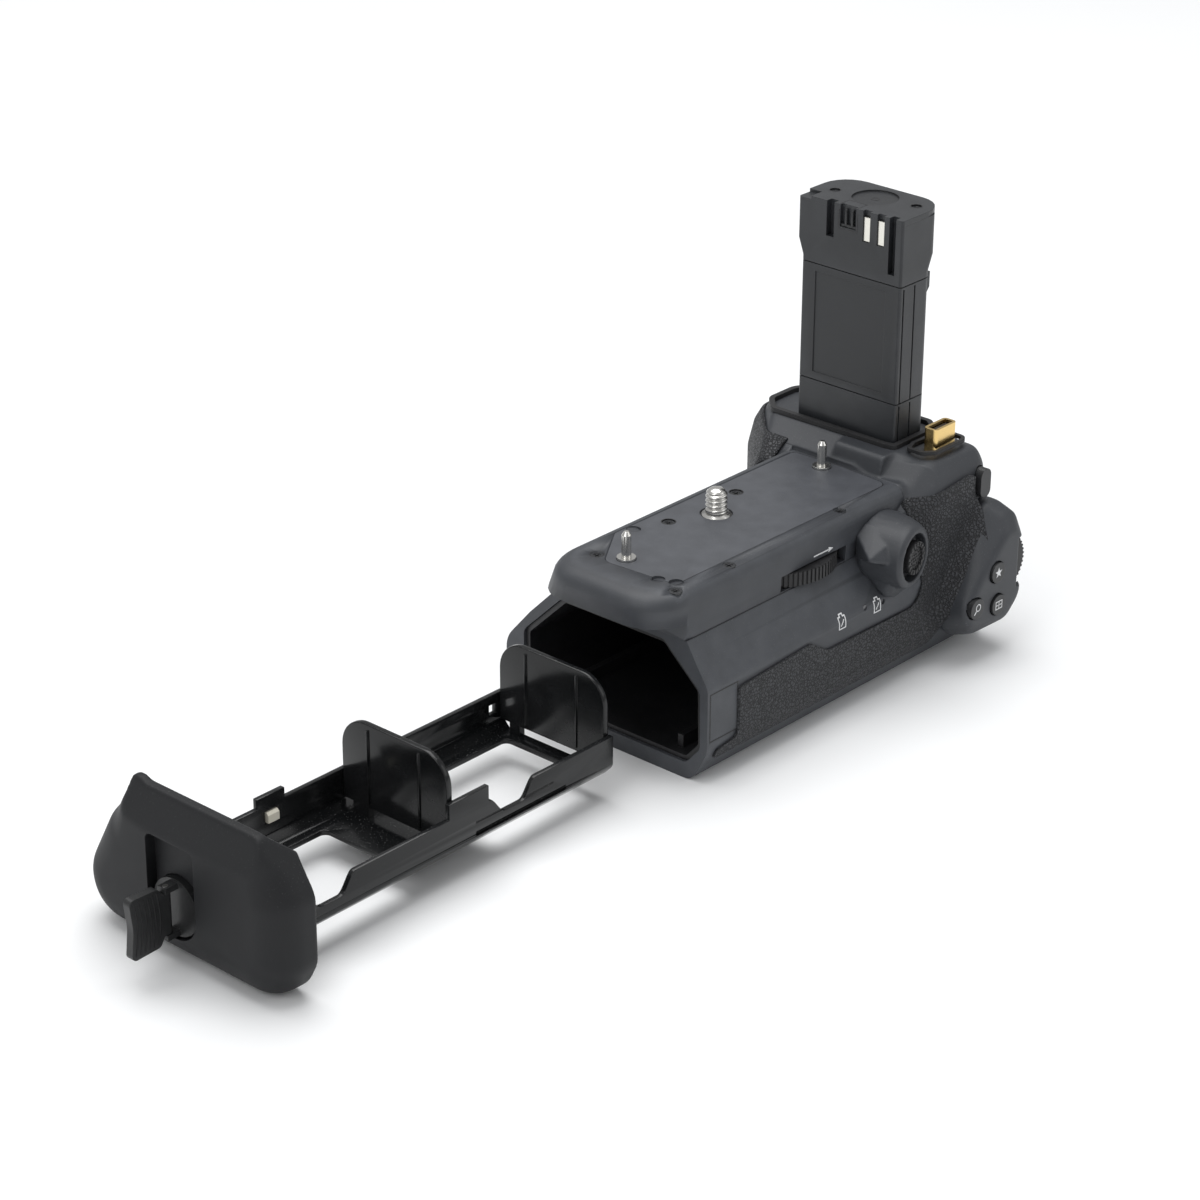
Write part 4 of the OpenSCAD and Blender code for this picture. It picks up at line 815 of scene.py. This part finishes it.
def drawn(name, *draws):
    """Run drawing functions on one mesh and give back its object."""
    work = bmesh.new()
    for draw in draws:
        draw(work)
    bmesh.ops.recalc_face_normals(work, faces=work.faces)
    return link_work(name, work)


def ring_line(x, y, radius, width, place, low, high, count=28):
    """A drawing function for one closed ring."""
    return lambda work: stroke(work, circle(x, y, radius, count), width, place, low, high, True)


def lay(name, body, slot, *draws):
    """Drawn strokes and fills as one thin piece with its finish."""
    hand_over(drawn(name, *draws), body, slot, (), 30)


def printed(name, body, draw):
    """A drawing in white print."""
    piece = drawn(name, draw)
    hand_over(piece, body, None)
    piece.data.materials.append(finish["print_white"])


def join(name, things):
    """Several closed shells as one object."""
    work = bmesh.new()
    for thing in things:
        work.from_mesh(thing.data)
        bpy.data.objects.remove(thing)
    return link_work(name, work)


def bevelled(thing, width, angle=40, segments=2):
    step = thing.modifiers.new("bevel", "BEVEL")
    step.width = width
    step.segments = segments
    step.limit_method = "ANGLE"
    step.angle_limit = math.radians(angle)
    step.use_clamp_overlap = False
    return bake(thing)


# %% Section of the tray
TRAY_X = (-194.1, -68.5)
TRAY_Y = (-22.0, 21.0)
TRAY_LOW, WALL_TOP, WALL = -50.6, -37.6, 1.6
MIDDLE_X, END_X, LATCH_XS = -131.8, -70.5, (-157.8, -123.8)
y0, y1 = TRAY_Y
channel = rounded([(y0, WALL_TOP, 0), (y0, TRAY_LOW + 3.6, 3), (y0 + 3.5, TRAY_LOW, 3),
                   (y1 - 3.5, TRAY_LOW, 3), (y1, TRAY_LOW + 3.6, 3), (y1, WALL_TOP, 0)])
hollow = rounded([(y0 + WALL, 0, 0), (y0 + WALL, TRAY_LOW + 4.2, 2), (y0 + 4, TRAY_LOW + WALL, 2),
                  (y1 - 4, TRAY_LOW + WALL, 2), (y1 - WALL, TRAY_LOW + 4.2, 2), (y1 - WALL, 0, 0)])
print("tray section:", len(channel), "and", len(hollow), "points")


def finger_dip(low, high, depth, left, right):
    """A smooth hollow in the top edge of the near wall, drawn in (x, z)."""
    edge_line = []
    for index in range(33):
        x = low + (high - low) * index / 32
        share = ramp_up(x, low, low + left) * (1 - ramp_up(x, high - right, high))
        edge_line.append((x, WALL_TOP + 0.02 - depth * share))
    return prism(edge_line + [(high, -20), (low, -20)], "y", y0 - 1, y0 + WALL + 1)


# %% Tray: walls, dips, windows and brace
tray = prism(channel, "x", *TRAY_X)
for low, high in (((MIDDLE_X - 1, y0, WALL_TOP - 1), (MIDDLE_X + 14, y0 + WALL, WALL_TOP + 4.6)),
                  ((LATCH_XS[0] - 5, y1 - WALL, WALL_TOP - 1), (LATCH_XS[0] + 5, y1, WALL_TOP + 3))):
    boolean(tray, box_tool(low, high), "UNION")
boolean(tray, prism(hollow, "x", TRAY_X[0] - 1, TRAY_X[1] + 1))
boolean(tray, finger_dip(-187.5, -167, 5.6, 9, 5.5))
boolean(tray, finger_dip(-117.6, -99.5, 5.4, 6, 5.5))
for low in (-179.8, -109.5):
    window = rectangle(low, y0 + 7, low + 36, y1 - 7, 2)
    boolean(tray, prism(window, "z", TRAY_LOW - 1, TRAY_LOW + 3))
for high, low, end, deep in ((4.4, 4.9, 39, 0.3), (7.4, 7.9, 44, 0.6), (8.2, 8.7, 44, 0.6)):
    boolean(tray, box_tool((MIDDLE_X + 9, y0 - 1, WALL_TOP - low),
                           (MIDDLE_X + end, y0 + deep, WALL_TOP - high)))
for x in LATCH_XS:
    boolean(tray, box_tool((x - 2.3, y1 - 4, -42.9), (x + 2.3, y1 + 1, -39.3)))
boolean(tray, box_tool((-74.5, y1 - 3, -43.6), (-71.9, y1 + 1, -40.6)))
bevelled(tray, 0.22)
brace_shape = rounded([(-194.1, -47, 0), (-187, -44, 0.5), (-187, -31.6, 0.8), (-190.2, -31.2, 0.8),
                       (-194.1, -40, 0)])
brace = prism(brace_shape, "y", y0 + WALL, y0 + WALL + 1.3)
for corners in ([(-193.6, -40.6), (-190.4, -33.2), (-192.6, -45.6), (-193.6, -45.8)],
                [(-191.6, -44.6), (-189.4, -35), (-188, -36), (-188, -43.4)]):
    boolean(brace, prism(corners, "y", y0, y0 + 5))
hand_over(join("tray_shell", [tray, brace]), "tray", "tray_plastic", ["tray_frame"], 30)

# %% Dividers with rounded rims
plate_shape = rounded([(y0 + WALL + 0.1, TRAY_LOW + 4.6, 0.5), (y0 + WALL + 0.1, TRAY_LOW + 30, 9),
                       (y1 - WALL - 0.1, TRAY_LOW + 30, 9), (y1 - WALL - 0.1, TRAY_LOW + 4.6, 0.5)], 12)
END_LUGS = [(-68.6, -19, -43.6, -67.9, -15, -39.6), (-68.6, 14, -43.6, -67.9, 18, -39.6)]
for name, node, x, gap, extras in (("divider_middle", "middle_divider", MIDDLE_X, 10, []),
                                   ("divider_end", "end_divider", END_X, 12, END_LUGS)):
    parts = [bevelled(prism(plate_shape, "x", x, x + 2), 0.5, 50, 3)]
    for y in (-10.1, 9.1):
        rib = box_tool((x - 0.55, y - 0.3, TRAY_LOW + 6), (x + 0.1, y + 0.3, TRAY_LOW + 28.4))
        parts.append(bevelled(rib, 0.12))
    for low, high in ((y0 + WALL + 4, -0.5 - gap), (-0.5 + gap, y1 - WALL - 4)):
        parts.append(box_tool((x, low, TRAY_LOW + WALL), (x + 2, high, TRAY_LOW + 5)))
    parts += [box_tool(box[:3], box[3:]) for box in extras]
    hand_over(join(name, parts), "tray", "tray_plastic", [node], 30)

# %% Marks on the tray's floor: which way the batteries lie
def on_floor(u, v, h):
    return (u, v, TRAY_LOW + WALL + h)


def battery_outline(work, x, y, length, width):
    """A rounded box with a nub at its end."""
    end, third = x + length, width * 0.3
    stroke(work, rectangle(x, y, end, y + width, 1, 3), 0.5, on_floor, -0.05, 0.22, True)
    nub = [(end, y + third), (end + 1, y + third), (end + 1, y + width * 0.7), (end, y + width * 0.7)]
    stroke(work, nub, 0.5, on_floor, -0.05, 0.22)


def floor_marks(work):
    battery_outline(work, -192, -16, 9, 7)
    battery_outline(work, -191.4, 2, 9, 8)
    stroke(work, [(-189.6, 4), (-185.6, 4), (-185.6, 8), (-189.6, 8)], 0.45, on_floor, -0.05, 0.2)
    for shift in (0, 2.4, 4.8):
        stroke(work, [(-190 + shift, -6.5), (-187.4 + shift, -3)], 0.5, on_floor, -0.05, 0.22)
    for y in (-15, 3):
        battery_outline(work, -127, y, 13, 8)
    stroke(work, circle(-119, -1.6, 2.2, 14, 0.3, 4.6), 0.45, on_floor, -0.05, 0.2)
    fill(work, [(-116.4, -3), (-117.8, -1), (-115.2, -0.9)], on_floor, -0.05, 0.2)


lay("floor_marks", "tray", "inner_black", floor_marks)

# %% [markdown]
# ## Stick
# The head has a small framed window with two bars beside its contacts. The CAD solids keep
# their shapes. Only the window's frame and bars and the rings on the lid are added, as thin
# pieces on the faces that carry them.

# %% Window bars and frame, lid rings
STICK_X, STICK_TOP = 61.8, 75.8


def on_stick(u, v, h):
    return (STICK_X - h, u, v)


def on_lid(u, v, h):
    return (u, v, STICK_TOP + h)


WINDOW = [(0.5, STICK_TOP - 1.7), (0.5, STICK_TOP - 7.4), (7.3, STICK_TOP - 7.4), (7.3, STICK_TOP - 1.7)]
WINDOW_TOP = [(62.2, 0.6), (66.4, 0.6), (66.4, 7.2), (62.2, 7.2)]
bars = []
for y in (2.3, 4.6):
    bar = box_tool((STICK_X + 0.3, y, STICK_TOP - 6.5), (STICK_X + 1.3, y + 0.8, STICK_TOP - 1.2))
    bars.append(bevelled(bar, 0.12))
bars.append(box_tool((STICK_X + 0.35, 1.1, STICK_TOP - 6.7), (STICK_X + 1.25, 6.7, STICK_TOP - 5.9)))
hand_over(join("window_bars", bars), "grip", "control", (), 30)
lay("window_frame", "grip", "inner_black",
    lambda work: stroke(work, WINDOW, 0.3, on_stick, -0.05, 0.03),
    lambda work: stroke(work, WINDOW_TOP, 0.25, on_lid, -0.05, 0.03),
    ring_line(73.3, 3, 6.9, 0.3, on_lid, -0.52, -0.47),
    ring_line(73.3, 3, 1.1, 0.5, on_lid, -0.52, -0.46))

# %% [markdown]
# ## Key
# The key in the cap turns the lock and folds flat. Its paddle has fine ribs on both sides for
# the thumb's grip. The CAD paddle stays, and the ribs are strokes on it.

# %% Fine ribs on both sides of the paddle
def paddle_ribs(work):
    for side, face in ((-1, 1.2), (1, 3.6)):
        for number in range(6):
            x = -221.2 + number * 1.5
            path = [(x + 0.9 * math.cos(math.pi / 2 * t), KEY.y + 7.6 * t)
                    for t in (-1, -0.6, -0.2, 0.2, 0.6, 1)]
            stroke(work, path, 0.4, lambda u, v, h: (u, face + side * h, v), -0.1, 0.18)


lay("paddle_ribs", "paddle", "knurled", paddle_ribs)

# %% [markdown]
# ## Screws
# Eight small black screws with a cross recess hold the plate and the lid of the stick. They are
# one head, built by a node tree with named sizes and set on every place as real mesh.


# %% Node trees that set one shape on every place
def repeat_tree(name, *sizes):
    """A geometry tree with places, named sizes and a finish."""
    inputs = [("Places", "g"), *[(label, "f", value) for label, value in sizes], ("Finish", "m")]
    return new_group(name, inputs, [("Pieces", "g")], "GeometryNodeTree")


def on_every_place(tree, inlet, outlet, shape):
    """Instances of the shape on all places, made real and given the finish."""
    placed = add(tree, "GeometryNodeInstanceOnPoints", {"Points": inlet.outputs["Places"], "Instance": shape})
    real = add(tree, "GeometryNodeRealizeInstances", {"Geometry": placed.outputs[0]})
    painted = add(tree, "GeometryNodeSetMaterial",
                  {"Geometry": real.outputs[0], "Material": inlet.outputs["Finish"]})
    tree.links.new(painted.outputs[0], outlet.inputs[0])


def node_made(name, tree, points, values):
    """Evaluate a node tree over points, with its inputs set by label, and keep plain mesh."""
    mesh = bpy.data.meshes.new(name)
    mesh.from_pydata(points, [], [])
    thing = link_mesh(name, mesh)
    step = thing.modifiers.new("made", "NODES")
    step.node_group = tree
    for item in tree.interface.items_tree:
        if item.in_out == "INPUT" and item.name in values:
            step[item.identifier] = values[item.name]
    return bake(thing)


# %% Tree of a screw head: a disc with a round dish and two crossed slots cut into it
screws, inlet, outlet = repeat_tree("screw_heads", ("Radius", 1.9), ("Height", 1.05), ("Slot", 0.42))
radius, height, slot = (inlet.outputs[name] for name in ("Radius", "Height", "Slot"))
disc = add(screws, "GeometryNodeMeshCylinder", {"Radius": radius, "Depth": height}, Vertices=32)
sunk = add(screws, "ShaderNodeCombineXYZ", {"Z": math_node(screws, "MULTIPLY", height, -0.5)})
head = add(screws, "GeometryNodeTransform",
           {"Geometry": disc.outputs["Mesh"], "Translation": sunk.outputs[0]})
dish = add(screws, "GeometryNodeMeshCylinder", {"Radius": math_node(screws, "MULTIPLY", radius, 0.62)},
           Vertices=24, Depth=0.3)
cutters = [dish.outputs["Mesh"]]
for slot_turn in (0.0, math.pi / 2):
    size = add(screws, "ShaderNodeCombineXYZ", {"X": radius, "Y": slot}, Z=1.1)
    bar = add(screws, "GeometryNodeMeshCube", {"Size": size.outputs[0]})
    turned_bar = add(screws, "GeometryNodeTransform", {"Geometry": bar.outputs["Mesh"]},
                     Rotation=(0, 0, slot_turn))
    cutters.append(turned_bar.outputs[0])
crossed = add(screws, "GeometryNodeMeshBoolean", {0: head.outputs[0]}, operation="DIFFERENCE", solver="EXACT")
for cutter in cutters:
    screws.links.new(cutter, crossed.inputs[1])
on_every_place(screws, inlet, outlet, crossed.outputs[0])
print("screw tree:", len(screws.nodes), "nodes")

# %% Screw heads, and dark rings of painted shade in the gaps round them
PLATE_SCREWS = [(-43.7, 6.6), (-13.7, 6.2), (15.3, 5.4), (-24, -25), (-46.5, -24.8), (25.5, -24.8)]
LID_SCREWS = [(70.8, 16), (75.3, -10.5)]


def on_deck(u, v, h):
    return (u, v, h)


plate_heads = node_made("plate_screw_heads", screws, [(x, y, -0.3) for x, y in PLATE_SCREWS],
                        {"Radius": 1.85, "Height": 1.1, "Slot": 0.4, "Finish": finish["black_screw"]})
hand_over(plate_heads, "grip", "black_screw", ["plate_screws"], 30)
lid_heads = node_made("lid_screw_heads", screws, [(x, y, 75.3) for x, y in LID_SCREWS],
                      {"Radius": 1.5, "Height": 0.5, "Slot": 0.35, "Finish": finish["black_screw"]})
hand_over(lid_heads, "grip", "black_screw", (), 30)
# Painted shade: dark rings in the gaps between the heads and their bores.
lay("screw_gap_shade", "grip", "inner_black",
    *[ring_line(x, y, 2.08, 0.3, on_deck, -0.3, 0.015) for x, y in PLATE_SCREWS[:3]],
    *[ring_line(x, y, 1.72, 0.3, on_lid, -0.3, 0.015) for x, y in LID_SCREWS])

# %% [markdown]
# ## Thread of the tripod screw
# The screw that pulls the grip to the camera has a thread of about four turns and a domed end.
# A thread is a cylinder whose radius goes up and down along a helix, so rings of points are
# enough. The CAD's shaft and gear below are kept as a cut copy.

# %% Threaded end
PITCH, SCREW_R, SCREW_TOP = 1.41, 3.175, 8.0
ROUND, ALONG = 72, 110
rings = []
for row in range(ALONG + 1):
    z = 0.15 + (SCREW_TOP - 0.15) * row / ALONG
    ring = []
    for column in range(ROUND):
        turned = column / ROUND
        wave = 0.5 - 0.5 * math.cos(2 * math.pi * (z / PITCH - turned))
        fade = ramp_up(z, 0.9, 1.6) * (1 - ramp_up(z, SCREW_TOP - 1.7, SCREW_TOP - 0.7))
        radius = SCREW_R - 0.62 * (1 - wave ** 0.7) * fade - 0.35 * (1 - fade) * (z > 3)
        dome = max(0.0, (z - SCREW_TOP + 1.6) / 1.6)
        radius *= math.sqrt(max(0.05, 1 - 0.86 * dome * dome))
        ring.append((radius * math.cos(2 * math.pi * turned), radius * math.sin(2 * math.pi * turned), z))
    rings.append(ring)
thread = skin("screw_thread", rings)
shaft = copy_of_node("screw_shaft", "tripod_screw")
boolean(shaft, box_tool((-9, -9, -20), (9, 9, 0.2)), "INTERSECT")
hand_over(join("threaded_screw", [thread, shaft]), "screw", "bright_steel", ["tripod_screw"], 40)
# Painted shade: a dark ring sunk in the plate's hole round the screw's foot.
lay("screw_hole_shade", "grip", "inner_black", ring_line(0, 0, 4.2, 0.9, on_deck, -0.9, -0.35, 48))

# %% [markdown]
# ## Joystick knob
# The knob is a shallow cup with a notched rim and small dots for grip. The CAD knob stays, and a
# node tree sets the dots on it in rings.

# %% Dots on the knob
dot_tree, inlet, outlet = repeat_tree("grip_dots", ("Radius", 0.3))
ball = add(dot_tree, "GeometryNodeMeshIcoSphere", {"Radius": inlet.outputs["Radius"]}, Subdivisions=2)
on_every_place(dot_tree, inlet, outlet, ball.outputs[0])


def at_joystick(u, v, h):
    """A point on the joystick's face: u to its right, v up, h out of the face."""
    spot = Vector((u, -9.5 - h, v))
    spot.rotate(Matrix.Rotation(JOYSTICK_TURN, 3, "Z"))
    return tuple(JOYSTICK + spot)


dots = [at_joystick(radius * math.cos(angle), radius * math.sin(angle), -0.12)
        for radius, count in ((0.0, 1), (1.15, 6), (2.3, 12), (3.2, 18))
        for angle in [2 * math.pi * i / count for i in range(count)]]
knob_dots = node_made("knob_dots", dot_tree, dots, {"Radius": 0.34, "Finish": finish["knurled"]})
hand_over(knob_dots, "knob", "knurled", (), 60)


def knob_rim(work):
    for number in range(16):
        a = 2 * math.pi * number / 16
        path = [(radius * math.cos(a), radius * math.sin(a)) for radius in (3.75, 4.9)]
        stroke(work, path, 0.7, at_joystick, 0.2, 0.62)


lay("knob_rim", "knob", "knurled", knob_rim)

# %% [markdown]
# ## Printed symbols and painted seam shade
# The buttons carry generic symbols in white print: a star, a grid and a magnifier. The casing
# has an arrow for the lock wheel and two small battery signs beside the lamps. Print is drawn as
# strokes a few hundredths of a millimetre high, and on the casing it is laid down by rays. The
# moulding seams are painted shade: thin dark strokes laid the same way.

# %% Symbols on the buttons
BUTTON_FACE = -47.9


STAR = [(radius * math.cos(a), radius * math.sin(a))
        for radius, a in [((1.75, 0.72)[i % 2], math.pi / 2 + math.pi * i / 5) for i in range(10)]]
GRID = [([(-1.5, -1.2), (1.5, -1.2), (1.5, 1.2), (-1.5, 1.2)], 0.32, True),
        ([(0, -1.1), (0, 1.1)], 0.28, False), ([(-1.4, 0), (1.4, 0)], 0.28, False)]
ZOOM = [(circle(0.35, 0.4, 1.05), 0.34, True), ([(-0.45, -0.4), (-1.5, -1.45)], 0.45, False)]


def symbol(button, lines):
    """White strokes on a button's face, or a filled star where there are none."""
    def on_button(u, v, h):
        return (BUTTONS[button][0] + u, BUTTON_FACE - h, BUTTONS[button][1] + v)

    def draw(work):
        for path, width, closed in lines:
            stroke(work, path, width, on_button, -0.05, 0.03, closed)
        if not lines:
            fill(work, STAR, on_button, -0.05, 0.03)
    printed(button + "_symbol", button, draw)


symbol("star", [])
symbol("grid", GRID)
symbol("zoom", ZOOM)

# %% Painted seam shade and signs laid on the casing
rear_faces = faces_of([deck, nodes["rear_shell"], nodes["rear_door"], rear_pad])
REAR_Y = -36.4


def on_rear(u, v, h):
    found = rear_faces.ray_cast(Vector((u, -90, v)), Vector((0, 1, 0)))[0]
    return (u, (found.y if found else REAR_Y) - h, v)


def evenly_open(path, step):
    """More points on an open path, so that a stroke can follow a curved face."""
    points = []
    for a, b in zip(path, path[1:]):
        a, b = Vector(a), Vector(b)
        parts = max(1, int((b - a).length / step))
        points += [a.lerp(b, i / parts) for i in range(parts)]
    return points + [Vector(path[-1])]


def signs(work):
    for x, z in ((12.4, -29.8), (28.6, -30.2)):
        outline = [(x, z), (x + 2.9, z), (x + 2.9, z + 3.5), (x + 2.1, z + 3.5), (x + 2.1, z + 4.2),
                   (x + 0.8, z + 4.2), (x + 0.8, z + 3.5), (x, z + 3.5), (x, z)]
        stroke(work, evenly_open(outline, 0.6)[:-1], 0.34, on_rear, -0.1, 0.07, True)
        stroke(work, evenly_open([(x + 0.8, z + 0.8), (x + 2.2, z + 2.6)], 0.6), 0.32, on_rear, -0.1, 0.07)
    stroke(work, [(9.5, -8.2), (16.5, -8.2)], 0.45, on_rear, -0.03, 0.05)
    fill(work, [(16.2, -9), (18.4, -8.2), (16.2, -7.4)], on_rear, -0.03, 0.05)


printed("casing_signs", "grip", signs)


# Painted shade: dark strokes along the parting line and round the rear door, where their grooves are.
def seam_shade_strokes(work):
    stroke(work, evenly_open([(-45.4, -14.9), (24.5, -14.9)], 2), 0.26, on_rear, -0.1, 0.02)
    door = [(-44.45, -44.05), (-32.85, -44.05), (-32.85, -29.35), (-44.45, -29.35)]
    stroke(work, door, 0.36, lambda u, v, h: (u, REAR_Y - h, v), -0.3, 0.05, True)


lay("seam_shade", "grip", "inner_black", seam_shade_strokes)
